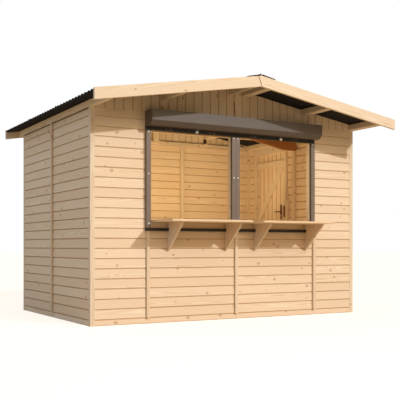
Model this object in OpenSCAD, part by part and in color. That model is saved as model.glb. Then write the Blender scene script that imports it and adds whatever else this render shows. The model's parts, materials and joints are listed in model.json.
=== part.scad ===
// Timber market stall, 3 m by 2 m: boarded walls between posts, a shallow pitched
// corrugated roof with a deep front overhang, two serving windows under one roller
// shutter box, two serving shelves on triangular brackets, and a side door.
//
// +X runs along the front to the right, +Y to the back, +Z up. The origin is the
// centre of the footprint at ground level.

/* [Overall] */
// Width of the front wall, outside
width = 3000; // [2600:10:3800]
// Depth from the front wall to the back wall, outside
depth = 2024; // [1900:4:2600]
// Height of the side walls, up to the eaves purlin
wall_height = 1945; // [1930:5:2300]
// Pitch of the roof, in degrees
roof_pitch = 9.4; // [6:0.2:16]

/* [Walls] */
// Thickness of the wall boards
board_t = 14; // [10:1:22]
// Depth of the posts and rails behind the boards
frame_t = 30; // [24:1:45]
// Width of the posts and height of the rails
post_w = 44; // [35:1:60]
// Distance from a corner of the front wall to the nearest window
side_panel_w = 545; // [400:5:700]
// Distance from the middle of the back wall to its panel joints
back_joint = 486; // [300:2:700]
// Width of the cover strip on a panel joint
strip_w = 32; // [20:1:45]
// Thickness of the cover strip on a panel joint
strip_t = 18; // [8:1:24]
// Height of the bottom board, where the cover strips start
bottom_board_h = 54; // [40:1:90]

/* [Floor] */
// Width and height of a floor bearer
bearer = 45; // [38:1:70]
// Number of floor bearers, odd so that one is in the middle
bearer_count = 5; // [3:2:7]
// Thickness of the floor boards
floor_t = 16; // [12:1:28]

/* [Serving windows] */
// Height of the wall below the windows, which carries the shelves
sill_h = 932; // [900:1:1000]
// Height of the top of the window openings
window_top = 1805; // [1700:1:1850]

/* [Roller shutter] */
// How far the shutter laps over the wall beside the windows
shutter_lap = 10; // [6:1:20]
// Depth of the shutter box from the wall to its front
box_d = 150; // [120:5:200]
// Height of the shutter box
box_h = 142; // [120:2:160]
// Length of the chamfer under the front of the box
box_chamfer = 42; // [20:1:60]
// Height of the underside of the shutter box
box_bottom = 1808; // [1780:1:1830]
// Height of the closing bar under the box
lintel_h = 34; // [20:1:50]
// Width of a side guide rail
rail_w = 46; // [36:1:60]
// Width of the double guide rail between the windows
centre_rail_w = 90; // [72:1:120]
// Depth of the guide rails from the wall
rail_d = 30; // [24:1:40]
// Height of the foot bar below the guide rails
foot_bar_h = 28; // [20:1:40]
// Height of the underside of the foot bar
foot_bar_z = 851; // [780:1:860]
// Width of the curtain slot in a guide rail
slot_w = 12; // [8:1:14]
// Depth of the curtain slot into a guide rail
slot_d = 26; // [20:1:30]

/* [Shelves] */
// Length of a serving shelf along the wall
shelf_l = 838; // [700:2:846]
// Reach of a serving shelf in front of the wall
shelf_d = 419; // [300:1:520]
// Thickness of a serving shelf
shelf_t = 20; // [16:1:30]
// Distance from the guide rail on the left of a window to its shelf
shelf_gap = 22; // [14:1:26]
// Thickness of a shelf bracket
bracket_t = 18; // [12:1:28]
// Height of a shelf bracket
bracket_h = 262; // [200:1:320]
// Reach of a shelf bracket under its shelf
bracket_d = 295; // [200:1:380]
// Distance from the left end of a shelf to its first bracket
bracket_first = 160; // [60:5:180]
// Distance between the two brackets of a shelf
bracket_pitch = 625; // [400:5:640]

/* [Roof] */
// Width of a purlin
purlin_w = 58; // [45:1:70]
// Height of a purlin
purlin_h = 58; // [45:1:70]
// Distance from the ridge to the middle of the left ridge purlin, down the slope
left_ridge_purlin = 40; // [40:1:150]
// Distance from the ridge to the middle of the left middle purlin, down the slope
left_mid_purlin = 785; // [600:5:900]
// Distance from the ridge to the middle of the right ridge purlin, down the slope
right_ridge_purlin = 115; // [110:1:260]
// Distance from the ridge to the middle of the right middle purlin, down the slope
right_mid_purlin = 850; // [700:5:1000]
// Overhang of the roof in front of the front wall
front_overhang = 480; // [300:5:700]
// Overhang of the roof behind the back wall
back_overhang = 200; // [100:5:400]
// Overhang of the roof beyond the side walls
side_overhang = 148; // [100:2:300]
// Distance between two waves of the roofing sheet
wave_pitch = 76; // [70:1:110]
// Height of a wave of the roofing sheet
wave_h = 26; // [16:1:28]
// Thickness of the roofing sheet
sheet_t = 3; // [2:0.5:4]
// Height of a bargeboard
barge_h = 100; // [80:1:140]
// Thickness of a bargeboard
barge_t = 28; // [18:1:34]
// Distance from the ridge to the batten inside the back gable
batten_x = 80; // [70:1:90]
// Width of the batten inside the back gable
batten_w = 76; // [50:1:80]
// Thickness of the batten inside the back gable
batten_t = 22; // [16:1:30]
// How far the batten laps over the rail below the back gable
batten_lap = 29; // [20:1:40]
// Height of the batten above the rail below the back gable
batten_rise = 178; // [100:1:180]
// How far a bargeboard stands above the underside of the roofing sheet
barge_up = 34; // [34:1:50]
// Width of one wing of the ridge cap
cap_wing = 150; // [100:5:220]
// Thickness of the ridge cap
cap_t = 3; // [2:0.5:4]
// Rise of the ridge cap above the bargeboards at the ridge
cap_rise = 12; // [6:1:20]

/* [Truss] */
// Depth of a rafter at the ridge, measured upright
rafter_ridge_h = 92; // [70:1:110]
// Height of the level foot of the rafters above the ground
rafter_foot_z = 1838; // [1800:1:1860]
// Length of the level foot of a rafter
rafter_foot_l = 215; // [120:5:300]
// Thickness of the rafters
rafter_t = 40; // [30:1:60]
// Height of the underside of the truss tie above the ground
tie_z = 1930; // [1915:1:1950]
// Height of the truss tie
tie_h = 90; // [70:1:100]
// Thickness of the truss tie
tie_t = 30; // [20:1:40]
// Distance from the middle of the stall to an end of the truss tie
tie_reach = 880; // [700:5:950]

/* [Door] */
// Distance from the joint in the right wall to the doorway
door_offset = 160; // [80:5:200]
// Width of the door leaf
door_w = 620; // [560:5:680]
// Height of the door leaf
door_h = 1796; // [1700:2:1800]
// How far the header hangs down behind the leaf
header_lap = 15; // [8:1:30]
// Gap around the door leaf
door_gap = 5; // [5:1:10]
// Thickness of the ledges and the braces
ledge_t = 20; // [16:1:24]
// Height of a ledge
ledge_h = 66; // [50:1:90]
// Distance from the lock side of the leaf to the ledges, which clear the door post
ledge_lock_inset = 30; // [28:1:60]
// Distance from the hinge side of the leaf to the ledges
ledge_hinge_inset = 13; // [10:1:60]
// Width of a brace, measured level
brace_w = 100; // [60:1:130]
// Width of the seat of a brace on the ledge below it
brace_seat = 12; // [8:1:40]
// Height of the top ledge above the foot of the leaf, to its middle
top_ledge = 1658; // [1560:2:1660]
// Height of the middle ledge above the foot of the leaf, to its middle
middle_ledge = 860; // [700:5:900]
// Height of the bottom ledge above the foot of the leaf, to its middle
bottom_ledge = 170; // [120:5:300]
// Height of the door handle above the foot of the leaf
handle_h = 1062; // [1010:2:1150]
// Distance from the lock side of the leaf to the spindle of the handle
handle_inset = 117; // [75:1:140]
// How far the door post laps behind the wall boards on the lock side
post_lap = 17; // [15:1:20]
// Width of the lock block beside the door post
lock_block_w = 31; // [20:1:60]
// Height of the lock block
lock_block_h = 330; // [250:5:400]
// Height of the top of the lock block above the foot of the leaf
lock_block_top = 1203; // [1150:1:1300]
// Width of the lock keep on the door post
keep_w = 37; // [24:1:40]
// Height of the lock keep
keep_h = 140; // [80:5:180]
// Thickness of the lock keep
keep_t = 3; // [2:0.5:4]
// Radius of a hinge pin
pin_r = 3; // [2.5:0.5:4]
// Thickness of a hinge strap
strap_iron_t = 3; // [2:0.5:4]
// Length of a hinge strap along the leaf
strap_iron_l = 300; // [200:10:400]

/* [Hidden] */
wall_t = board_t + frame_t;
wall_cut = wall_height + wall_t;
half_w = width / 2;
half_d = depth / 2;
inner_w = width - 2 * wall_t;
inner_d = depth - 2 * wall_t;
window_half = half_w - side_panel_w;
floor_z = bearer + floor_t;

slope_run = (half_w + side_overhang) / cos(roof_pitch);
ridge_z = wall_height + purlin_h / cos(roof_pitch) + half_w * tan(roof_pitch);
roof_front = -half_d - front_overhang;
roof_back = half_d + back_overhang;
eave_purlin = half_w / cos(roof_pitch) + purlin_h * tan(roof_pitch) - purlin_w / 2;
left_purlins = [left_ridge_purlin, left_mid_purlin, eave_purlin];
right_purlins = [right_ridge_purlin, right_mid_purlin, eave_purlin];
wave_steps = 8;
barge_seam = 37;
box_edge = 4;
ridge_roll_r = 3 * cap_t;

rail_bottom = foot_bar_z + foot_bar_h;
rail_top = box_bottom - lintel_h;
slot_run_out = 1;
shutter_w = width - 2 * side_panel_w + 2 * shutter_lap;
shelf_left_x = -shutter_w / 2 + rail_w + shelf_gap;
shelf_right_x = centre_rail_w / 2 + shelf_gap;
notch_gap = 1;
bracket_tip = 14;

round_fn = 32;
sill_upstand = 4;
door_front = door_offset;
door_back = door_front + door_w + 2 * door_gap;
door_bottom = floor_z + sill_upstand;
door_foot = door_bottom + door_gap;
door_top = door_foot + door_h + door_gap;
header_foot = door_top - header_lap;
leaf_front = door_front + door_gap;
leaf_back = door_back - door_gap;
ledge_front = leaf_front + ledge_lock_inset;
ledge_back = leaf_back - ledge_hinge_inset;
truss_y = -(rafter_t + post_w) / 2;

pin_gap = 0.25;
pin_clear = 1;
knuckle_r = pin_r + strap_iron_t;
knuckle_l = 30;
knuckle_gap = 1;
pivot_x = half_w + strap_iron_t + pin_r + pin_clear;
pivot_y = door_back - door_gap / 2;
strap_iron_h = 30;
plate_l = 44;
hinge_heights = [bottom_ledge, middle_ledge, top_ledge];
spindle_r = 5;
spindle_gap = 1;
handle_y = leaf_front + handle_inset;
handle_plate_t = 4;
handle_plate_w = 42;
handle_plate_h = 172;
lever_t = 12;
lever_l = 112;
lever_h = 18;
lever_reach = 34;

// Height of the underside of the roofing sheet at a distance from the ridge
function roof_z(x) = ridge_z - abs(x) * tan(roof_pitch);

// Height of the underside of the purlins at a distance from the ridge
function purlin_z(x) = roof_z(x) - purlin_h / cos(roof_pitch);

// A box from its low corner to its high corner
module block(low, high) {
    translate(low) cube(high - low);
}

// Draws an outline in x and z as a slab from y to y + thickness
module upright_slab(y, thickness) {
    translate([0, y + thickness, 0]) rotate([90, 0, 0])
        linear_extrude(thickness) children();
}

// Places a child in the frame of one roof slope: its x runs down the slope from the
// ridge, its z square to the slope, and z = 0 is the underside of the roofing sheet
module on_slope(side) {
    mirror([side < 0 ? 1 : 0, 0, 0])
        translate([0, 0, ridge_z])
            rotate([0, roof_pitch, 0])
                children();
}

// Keeps the part of a child that is below the purlins
module below_purlins() {
    difference() {
        children();
        for (side = [-1, 1])
            on_slope(side) block([0, -depth, -purlin_h], [width, depth, wall_height]);
    }
}

// A stretch of side wall boards between two places along y, as high as the eaves
module side_boards(side, y0, y1) {
    x = side < 0 ? -half_w : half_w - board_t;
    color("wheat")
        below_purlins()
            block([x, y0, 0], [x + board_t, y1, wall_cut]);
}

// A stretch of front or back wall boards between two places along x
module long_boards(side, x0, x1, top) {
    y = side < 0 ? -half_d : half_d - board_t;
    color("wheat")
        block([x0, y, 0], [x1, y + board_t, top]);
}

module floor_bearers() {
    pitch = (inner_w - bearer) / (bearer_count - 1);
    color("burlywood")
        for (i = [0 : bearer_count - 1]) {
            x = -inner_w / 2 + i * pitch;
            block([x, -inner_d / 2, 0], [x + bearer, inner_d / 2, bearer]);
        }
}

module floor_deck() {
    color("burlywood")
        block([-inner_w / 2, -inner_d / 2, bearer], [inner_w / 2, inner_d / 2, floor_z]);
}

module corner_posts() {
    color("wheat")
        below_purlins()
            for (x = [-half_w, half_w - wall_t], y = [-half_d, half_d - wall_t])
                block([x, y, 0], [x + wall_t, y + wall_t, wall_cut]);
}

// Posts beside and between the windows: full depth in the opening, behind the boards below
module window_posts() {
    y = -half_d;
    color("wheat")
        for (x = [-window_half, -centre_rail_w / 2, window_half - post_w]) {
            w = x == -centre_rail_w / 2 ? centre_rail_w : post_w;
            block([x, y + board_t, 0], [x + w, y + wall_t, window_top]);
            block([x, y, sill_h], [x + w, y + wall_t, window_top]);
        }
}

// Rails behind the top of the wall below the windows, under the shelves
module sill_rails() {
    y = -half_d + board_t;
    color("wheat")
        for (span = [[-window_half + post_w, -centre_rail_w / 2],
                     [centre_rail_w / 2, window_half - post_w]])
            block([span[0], y, sill_h - post_w], [span[1], y + frame_t, sill_h]);
}

module front_header() {
    color("wheat")
        block([-window_half, -half_d, window_top], [window_half, -half_d + wall_t, wall_height]);
}

// The purlins of one slope, from bargeboard to bargeboard
module purlins(side, places) {
    color("tan")
        for (place = places)
            on_slope(side)
                block([place - purlin_w / 2, roof_front + barge_t, -purlin_h],
                      [place + purlin_w / 2, roof_back - barge_t, 0]);
}

// Boards above the front or back wall, up to the roof and notched round the purlins
module gable(side) {
    end_x = half_w - wall_t;
    color("tan")
        difference() {
            upright_slab(side < 0 ? -half_d : half_d - board_t, board_t)
                polygon([[-end_x, wall_height], [end_x, wall_height], [end_x, roof_z(end_x)],
                         [0, ridge_z], [-end_x, roof_z(end_x)]]);
            purlins(-1, left_purlins);
            purlins(1, right_purlins);
        }
}

// Posts on both sides of the door, the one on the lock side with a block for the lock
module door_posts() {
    x = half_w - wall_t;
    lock_y = door_front - post_lap;
    block_top = door_foot + lock_block_top;
    color("wheat") {
        for (y = [lock_y, door_back])
            block([x, y, floor_z], [x + frame_t, y + post_w, header_foot]);
        block([x, lock_y - lock_block_w, block_top - lock_block_h],
              [x + frame_t, lock_y, block_top]);
    }
}

// Steel keep of the lock on the inside of the door post
module lock_keep() {
    x = half_w - wall_t;
    z = door_foot + handle_h - keep_h / 2;
    color("#4a4644")
        block([x - keep_t, door_front, z], [x, door_front + keep_w, z + keep_h]);
}

module door_header() {
    x = half_w - wall_t;
    color("wheat")
        below_purlins()
            block([x, post_w / 2, header_foot], [x + frame_t, door_back + post_w, wall_cut]);
}

module right_wall_over_door() {
    color("wheat")
        below_purlins()
            block([half_w - board_t, door_front, door_top], [half_w, door_back, wall_cut]);
}

module door_sill() {
    color("wheat")
        block([half_w - board_t, door_front, 0], [half_w, door_back, door_bottom]);
}

// Posts inside the joints of the side walls and the back wall
module wall_posts() {
    y = half_d - wall_t;
    color("wheat") {
        for (x = [-half_w + board_t, half_w - wall_t])
            block([x, -post_w / 2, floor_z], [x + frame_t, post_w / 2, wall_height - post_w]);
        for (x = [-back_joint, back_joint])
            block([x - post_w / 2, y, floor_z], [x + post_w / 2, y + frame_t, wall_height]);
    }
}

// Rails inside the top of the side walls and behind the foot of the gables
module top_rails() {
    low = wall_height - post_w;
    color("wheat") {
        below_purlins() {
            block([-half_w + board_t, -inner_d / 2, low],
                  [-half_w + wall_t, inner_d / 2, wall_cut]);
            block([half_w - wall_t, -inner_d / 2, low],
                  [half_w - board_t, post_w / 2, wall_cut]);
        }
        for (y = [-half_d + board_t, half_d - wall_t])
            block([-inner_w / 2 + purlin_w, y, wall_height],
                  [inner_w / 2 - purlin_w, y + frame_t, wall_height + post_w]);
    }
}

// Batten inside the back gable, nailed to the rail below it
module gable_batten() {
    rail_top = wall_height + post_w;
    y = half_d - wall_t;
    color("wheat")
        block([batten_x, y - batten_t, rail_top - batten_lap],
              [batten_x + batten_w, y, rail_top + batten_rise]);
}

// Upright strips outside the joints of the walls, each on one side of its joint
module cover_strips() {
    color("wheat") {
        for (x = [-window_half, 0, window_half])
            block([x, -half_d - strip_t, bottom_board_h], [x + strip_w, -half_d, foot_bar_z]);
        block([-half_w - strip_t, 0, bottom_board_h], [-half_w, strip_w, wall_height]);
        block([half_w, 0, bottom_board_h], [half_w + strip_t, strip_w, wall_height]);
        for (x = [-back_joint, back_joint])
            block([x - strip_w, half_d, bottom_board_h], [x, half_d + strip_t, wall_height]);
    }
}

// Rafter of the middle truss, from the ridge to a level foot at the side wall
module truss_rafter(side) {
    end_x = half_w - wall_t;
    foot_x = half_w - rafter_foot_l;
    outline = [[0, purlin_z(0)], [end_x, purlin_z(end_x)], [end_x, rafter_foot_z],
               [foot_x, rafter_foot_z], [0, purlin_z(0) - rafter_ridge_h]];
    color("sienna")
        mirror([side < 0 ? 1 : 0, 0, 0])
            upright_slab(truss_y - rafter_t / 2, rafter_t) polygon(outline);
}

// Level tie across the back of both rafters
module truss_tie() {
    top = tie_z + tie_h;
    color("sienna")
        block([-tie_reach, truss_y + rafter_t / 2, tie_z],
              [tie_reach, truss_y + rafter_t / 2 + tie_t, top]);
}

function wave_z(i) = wave_h / 2 * (1 - cos(360 * i / wave_steps));

// Corrugated sheet of one slope: a wavy ribbon across y, drawn out down the slope
module roof_sheet(side) {
    y0 = roof_front + barge_t;
    y1 = roof_back - barge_t;
    steps = floor((y1 - y0) / wave_pitch * wave_steps);
    step = (y1 - y0) / steps;
    color("#1c1817")
        on_slope(side)
            rotate([90, 0, 90])
                linear_extrude(slope_run)
                    polygon(concat(
                        [for (i = [0 : steps]) [y0 + i * step, wave_z(i)]],
                        [for (i = [steps : -1 : 0]) [y0 + i * step, wave_z(i) + sheet_t]]));
}

// Folded cap over the ridge with a roll along its top
module ridge_cap() {
    rise = barge_up / cos(roof_pitch);
    wing_z = roof_z(cap_wing) + rise;
    fold_z = ridge_z + rise + cap_rise;
    color("#1c1817")
        upright_slab(roof_front, roof_back - roof_front)
            union() {
                polygon([[-cap_wing, wing_z], [0, fold_z], [cap_wing, wing_z],
                         [cap_wing, wing_z + cap_t], [0, fold_z + cap_t],
                         [-cap_wing, wing_z + cap_t]]);
                translate([0, fold_z]) circle(r = ridge_roll_r, $fn = round_fn);
            }
}

// Bargeboard of one slope at the front or the back, with its seam at the ridge
module bargeboard(side, y) {
    end_x = half_w + side_overhang;
    up = barge_up / cos(roof_pitch);
    down = up - barge_h / cos(roof_pitch);
    left_outline = [[-end_x, roof_z(end_x) + up], [-barge_seam, roof_z(barge_seam) + up],
                    [0, ridge_z + down], [-end_x, roof_z(end_x) + down]];
    right_outline = [[end_x, roof_z(end_x) + up], [0, ridge_z + up],
                     [-barge_seam, roof_z(barge_seam) + up], [0, ridge_z + down],
                     [end_x, roof_z(end_x) + down]];
    color("wheat")
        upright_slab(y, barge_t) polygon(side < 0 ? left_outline : right_outline);
}

module shutter_box() {
    top = box_bottom + box_h;
    color("#5a4f47")
        translate([-shutter_w / 2, -half_d, 0]) rotate([90, 0, 90])
            linear_extrude(shutter_w)
                polygon([[0, box_bottom], [0, top], [-box_d + box_edge, top],
                         [-box_d, top - box_edge], [-box_d, box_bottom + box_chamfer],
                         [-box_d + box_chamfer, box_bottom]]);
}

module shutter_lintel() {
    color("#2a2522")
        block([-shutter_w / 2, -half_d - rail_d, rail_top], [shutter_w / 2, -half_d, box_bottom]);
}

// Guide rail from x0 to x1 with curtain slots in the named sides
module guide_rail(x0, x1, slots) {
    slot_y = -half_d - (rail_d + slot_w) / 2;
    color("#85796d")
        difference() {
            block([x0, -half_d - rail_d, rail_bottom], [x1, -half_d, rail_top]);
            for (side = slots) {
                low = side < 0 ? x0 - slot_run_out : x1 - slot_d;
                block([low, slot_y, rail_bottom - slot_run_out],
                      [low + slot_d + slot_run_out, slot_y + slot_w, rail_top + slot_run_out]);
            }
        }
}

module shutter_foot_bar() {
    color("#231f1d")
        block([-shutter_w / 2, -half_d - rail_d, foot_bar_z], [shutter_w / 2, -half_d, rail_bottom]);
}

// Shelf resting on the wall below the window and on its brackets
module shelf(x) {
    color("wheat")
        block([x, -half_d - shelf_d, sill_h], [x + shelf_l, -half_d + wall_t, sill_h + shelf_t]);
}

// Two triangular brackets of one shelf, notched round the foot bar
module shelf_brackets(x) {
    color("peru")
        for (i = [0, 1])
            difference() {
                translate([x + bracket_first + i * bracket_pitch, -half_d, sill_h])
                    rotate([90, 0, 90])
                        linear_extrude(bracket_t)
                            polygon([[0, 0], [0, -bracket_h], [-bracket_tip, -bracket_h],
                                     [-bracket_d, -bracket_tip], [-bracket_d, 0]]);
                block([-half_w, -half_d - rail_d - notch_gap, foot_bar_z - notch_gap],
                      [half_w, -half_d + notch_gap, rail_bottom + notch_gap]);
            }
}

module door_leaf() {
    color("burlywood")
        difference() {
            block([half_w - board_t, leaf_front, door_foot], [half_w, leaf_back, door_foot + door_h]);
            translate([half_w - 2 * board_t, handle_y, door_foot + handle_h]) rotate([0, 90, 0])
                cylinder(r = spindle_r + spindle_gap, h = 3 * board_t, $fn = round_fn);
        }
}

// Brace behind the door boards, falling from the lock side to the hinge side
module brace(head, foot) {
    seat_y = ledge_back - brace_seat;
    fall = (head - foot) / (seat_y - ledge_front);
    cut_z = head - fall * (ledge_back - ledge_front - brace_w);
    translate([half_w - board_t - ledge_t, 0, 0]) rotate([90, 0, 90])
        linear_extrude(ledge_t)
            polygon([[ledge_front, head], [ledge_front + brace_w, head],
                     [ledge_back, cut_z], [ledge_back, foot], [seat_y, foot]]);
}

// Three ledges and two braces behind the door boards
module door_ledges() {
    x = half_w - board_t - ledge_t;
    color("burlywood") {
        for (h = hinge_heights)
            block([x, ledge_front, door_foot + h - ledge_h / 2],
                  [x + ledge_t, ledge_back, door_foot + h + ledge_h / 2]);
        for (i = [0, 1])
            brace(door_foot + hinge_heights[i + 1] - ledge_h / 2,
                  door_foot + hinge_heights[i] + ledge_h / 2);
    }
}

// Two plates and two levers on one spindle through the leaf
module door_handle() {
    z = door_foot + handle_h;
    inner_x = half_w - board_t - handle_plate_t;
    outer_x = half_w + handle_plate_t;
    color("#4a4644") {
        for (x = [inner_x, half_w])
            block([x, handle_y - handle_plate_w / 2, z - handle_plate_h / 2],
                  [x + handle_plate_t, handle_y + handle_plate_w / 2, z + handle_plate_h / 2]);
        translate([inner_x - lever_reach, handle_y, z]) rotate([0, 90, 0])
            cylinder(r = spindle_r, h = outer_x - inner_x + 2 * lever_reach, $fn = round_fn);
        for (x = [inner_x - lever_reach, outer_x + lever_reach - lever_t])
            block([x, handle_y - lever_h / 2, z - lever_h / 2],
                  [x + lever_t, handle_y + lever_l - lever_h / 2, z + lever_h / 2]);
    }
}

// One strap per ledge on the outside of the leaf, with a bored knuckle on the pin
module hinge_straps() {
    color("#3c3836")
        for (h = hinge_heights)
            translate([0, 0, door_foot + h])
                difference() {
                    union() {
                        block([half_w, leaf_back - strap_iron_l, -strap_iron_h / 2],
                              [half_w + strap_iron_t, leaf_back, strap_iron_h / 2]);
                        block([half_w, leaf_back - strap_iron_t, -knuckle_l / 2],
                              [pivot_x, pivot_y, knuckle_l / 2]);
                        translate([pivot_x, pivot_y, -knuckle_l / 2])
                            cylinder(r = knuckle_r, h = knuckle_l, $fn = round_fn);
                    }
                    translate([pivot_x, pivot_y, -knuckle_l])
                        cylinder(r = pin_r + pin_gap, h = 2 * knuckle_l, $fn = round_fn);
                }
}

// One plate per hinge on the wall, with a knuckle above and below and the pin
module hinge_plates() {
    reach = 3 * knuckle_l / 2 + knuckle_gap;
    color("#3c3836")
        for (h = hinge_heights)
            translate([0, 0, door_foot + h]) {
                for (low = [-reach, reach - knuckle_l]) {
                    translate([pivot_x, pivot_y, low])
                        cylinder(r = knuckle_r, h = knuckle_l, $fn = round_fn);
                    block([half_w, pivot_y, low], [pivot_x, door_back + plate_l, low + knuckle_l]);
                }
                block([half_w, door_back + knuckle_r, -reach],
                      [half_w + strap_iron_t, door_back + plate_l, reach]);
                translate([pivot_x, pivot_y, -reach]) cylinder(r = pin_r, h = 2 * reach, $fn = round_fn);
            }
}

floor_bearers();
floor_deck();
corner_posts();
long_boards(-1, -inner_w / 2, -window_half, wall_height);  // front_panel_left
long_boards(-1, window_half, inner_w / 2, wall_height);  // front_panel_right
long_boards(-1, -window_half, 0, sill_h);  // front_sill_left
long_boards(-1, 0, window_half, sill_h);  // front_sill_right
window_posts();
sill_rails();
front_header();
gable(-1);  // front_gable
side_boards(-1, -inner_d / 2, 0);  // left_wall_front
side_boards(-1, 0, inner_d / 2);  // left_wall_rear
side_boards(1, -inner_d / 2, 0);  // right_wall_front
side_boards(1, 0, door_front);  // right_wall_beside_door
right_wall_over_door();
side_boards(1, door_back, inner_d / 2);  // right_wall_rear
door_sill();
door_posts();
door_header();
lock_keep();
long_boards(1, -inner_w / 2, -back_joint, wall_height);  // back_panel_left
long_boards(1, -back_joint, back_joint, wall_height);  // back_panel_middle
long_boards(1, back_joint, inner_w / 2, wall_height);  // back_panel_right
gable(1);  // back_gable
wall_posts();
top_rails();
gable_batten();
cover_strips();
purlins(-1, left_purlins);  // purlins_left
purlins(1, right_purlins);  // purlins_right
truss_rafter(-1);  // truss_rafter_left
truss_rafter(1);  // truss_rafter_right
truss_tie();
roof_sheet(-1);  // roof_sheet_left
roof_sheet(1);  // roof_sheet_right
ridge_cap();
bargeboard(-1, roof_front);  // bargeboard_front_left
bargeboard(1, roof_front);  // bargeboard_front_right
bargeboard(-1, roof_back - barge_t);  // bargeboard_back_left
bargeboard(1, roof_back - barge_t);  // bargeboard_back_right
shutter_box();
shutter_lintel();
guide_rail(-shutter_w / 2, -shutter_w / 2 + rail_w, [1]);  // guide_rail_left
guide_rail(-centre_rail_w / 2, centre_rail_w / 2, [-1, 1]);  // guide_rail_centre
guide_rail(shutter_w / 2 - rail_w, shutter_w / 2, [-1]);  // guide_rail_right
shutter_foot_bar();
shelf(shelf_left_x);  // shelf_left
shelf(shelf_right_x);  // shelf_right
shelf_brackets(shelf_left_x);  // shelf_brackets_left
shelf_brackets(shelf_right_x);  // shelf_brackets_right
door_leaf();
door_ledges();
door_handle();
hinge_straps();
hinge_plates();
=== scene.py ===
"""Looks of a timber market stall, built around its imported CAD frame.

The stall is boarded between posts under a shallow corrugated roof. Two serving windows
share one roller shutter box, each has a shelf on triangular brackets, and a boarded door
hangs in the right wall. Every class below is one sub-assembly; main() builds them in order.
All sizes are in metres, in the frame of the CAD model: +X along the serving front, +Y from
the serving front to the back, +Z up.
"""

from __future__ import annotations

import json
import logging
import math
import random
from dataclasses import dataclass, field, replace
from enum import Enum
from typing import Any, Iterable, Optional, Sequence, Union

import bmesh
import bpy
from mathutils import Matrix, Vector

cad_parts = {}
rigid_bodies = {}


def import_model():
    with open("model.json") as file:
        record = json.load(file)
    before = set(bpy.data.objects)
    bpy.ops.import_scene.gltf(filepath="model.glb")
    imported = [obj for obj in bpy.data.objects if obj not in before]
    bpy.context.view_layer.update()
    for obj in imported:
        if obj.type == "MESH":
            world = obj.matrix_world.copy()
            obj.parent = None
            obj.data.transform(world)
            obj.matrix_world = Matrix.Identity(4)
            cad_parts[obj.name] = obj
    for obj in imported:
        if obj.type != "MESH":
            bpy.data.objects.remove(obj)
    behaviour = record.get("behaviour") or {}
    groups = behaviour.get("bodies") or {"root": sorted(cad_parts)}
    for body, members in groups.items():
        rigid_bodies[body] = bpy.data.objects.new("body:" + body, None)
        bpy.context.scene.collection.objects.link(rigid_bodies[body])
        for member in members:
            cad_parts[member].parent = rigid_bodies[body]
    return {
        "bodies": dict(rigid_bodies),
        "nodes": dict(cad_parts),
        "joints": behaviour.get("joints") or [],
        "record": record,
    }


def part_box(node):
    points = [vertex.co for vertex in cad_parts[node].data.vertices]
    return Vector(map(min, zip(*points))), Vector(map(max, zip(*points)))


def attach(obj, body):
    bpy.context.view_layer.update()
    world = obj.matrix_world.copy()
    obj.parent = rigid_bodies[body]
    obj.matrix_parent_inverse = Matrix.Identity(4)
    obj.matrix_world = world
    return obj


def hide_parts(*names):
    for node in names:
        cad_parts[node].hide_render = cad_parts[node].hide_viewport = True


LOG = logging.getLogger("stall")
STALL = "stall"
FORWARD = Vector((0, -1, 0))
RIGHTWARD = Vector((1, 0, 0))
DOOR = "door"
Colour = tuple[float, float, float]
Plane = tuple[Vector, Vector]
Value = Union[float, Sequence[float], bpy.types.NodeSocket]


class Axis(Enum):
    """The directions in which a timber's grain can run."""

    X = 0
    Y = 1
    Z = 2


class Slot(Enum):
    """Material slots of the record, which each piece names."""

    TIMBER = "timber"
    RAFTER = "rafter_timber"
    ROOFING = "roofing_sheet"
    BOX = "shutter_box_metal"
    RAIL = "rail_metal"
    DARK = "dark_metal"
    IRON = "ironmongery"


# ---------------------------------------------------------------------------- frame


@dataclass(frozen=True)
class Box:
    """A box between its lowest and highest corners."""

    low: Vector
    high: Vector

    @property
    def size(self) -> Vector:
        """Length of the box along each axis."""
        return self.high - self.low

    @property
    def middle(self) -> Vector:
        """Centre of the box."""
        return (self.low + self.high) / 2

    def with_span(self, axis: Axis, low: float, high: float) -> Box:
        """Gives the box another span along one axis.

        Args:
            axis: The axis along which the span changes.
            low: Where the new span starts.
            high: Where the new span ends.

        Returns:
            A new box.
        """
        corner_low, corner_high = self.low.copy(), self.high.copy()
        corner_low[axis.value], corner_high[axis.value] = low, high
        return Box(corner_low, corner_high)


class CadFrame:
    """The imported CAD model, read for places and sizes."""

    def __init__(self, loaded: dict[str, Any]) -> None:
        self.nodes: dict[str, bpy.types.Object] = loaded["nodes"]
        self.measured: dict[str, Box] = {}

    def box(self, node: str) -> Box:
        """Gives the box of a whole CAD node, and measures it only once."""
        if node not in self.measured:
            self.measured[node] = Box(*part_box(node))
        return self.measured[node]

    def solids(self, node: str, turned: Matrix = Matrix.Identity(4)) -> list[Box]:
        """Measures each solid of a node by itself.

        Args:
            node: Name of the CAD node.
            turned: The frame in which the boxes are measured.

        Returns:
            One box for each solid, sorted by their lowest corners.
        """
        mesh = bmesh.new()
        mesh.from_mesh(self.nodes[node].data)
        bmesh.ops.remove_doubles(mesh, verts=mesh.verts, dist=1e-5)
        bmesh.ops.transform(mesh, matrix=turned.inverted(), verts=mesh.verts)
        boxes, seen = [], set()
        for start in mesh.verts:
            if start in seen:
                continue
            seen.add(start)
            island, waiting = [], [start]
            while waiting:
                vert = waiting.pop()
                island.append(vert.co.copy())
                for edge in vert.link_edges:
                    other = edge.other_vert(vert)
                    if other not in seen:
                        seen.add(other)
                        waiting.append(other)
            boxes.append(Box(Vector(map(min, zip(*island))), Vector(map(max, zip(*island)))))
        mesh.free()
        return sorted(boxes, key=lambda b: tuple(round(c, 3) for c in b.low))

    def points(self, node: str) -> list[Vector]:
        """Gives the places of a node's corners."""
        return [vert.co.copy() for vert in self.nodes[node].data.vertices]


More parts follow.
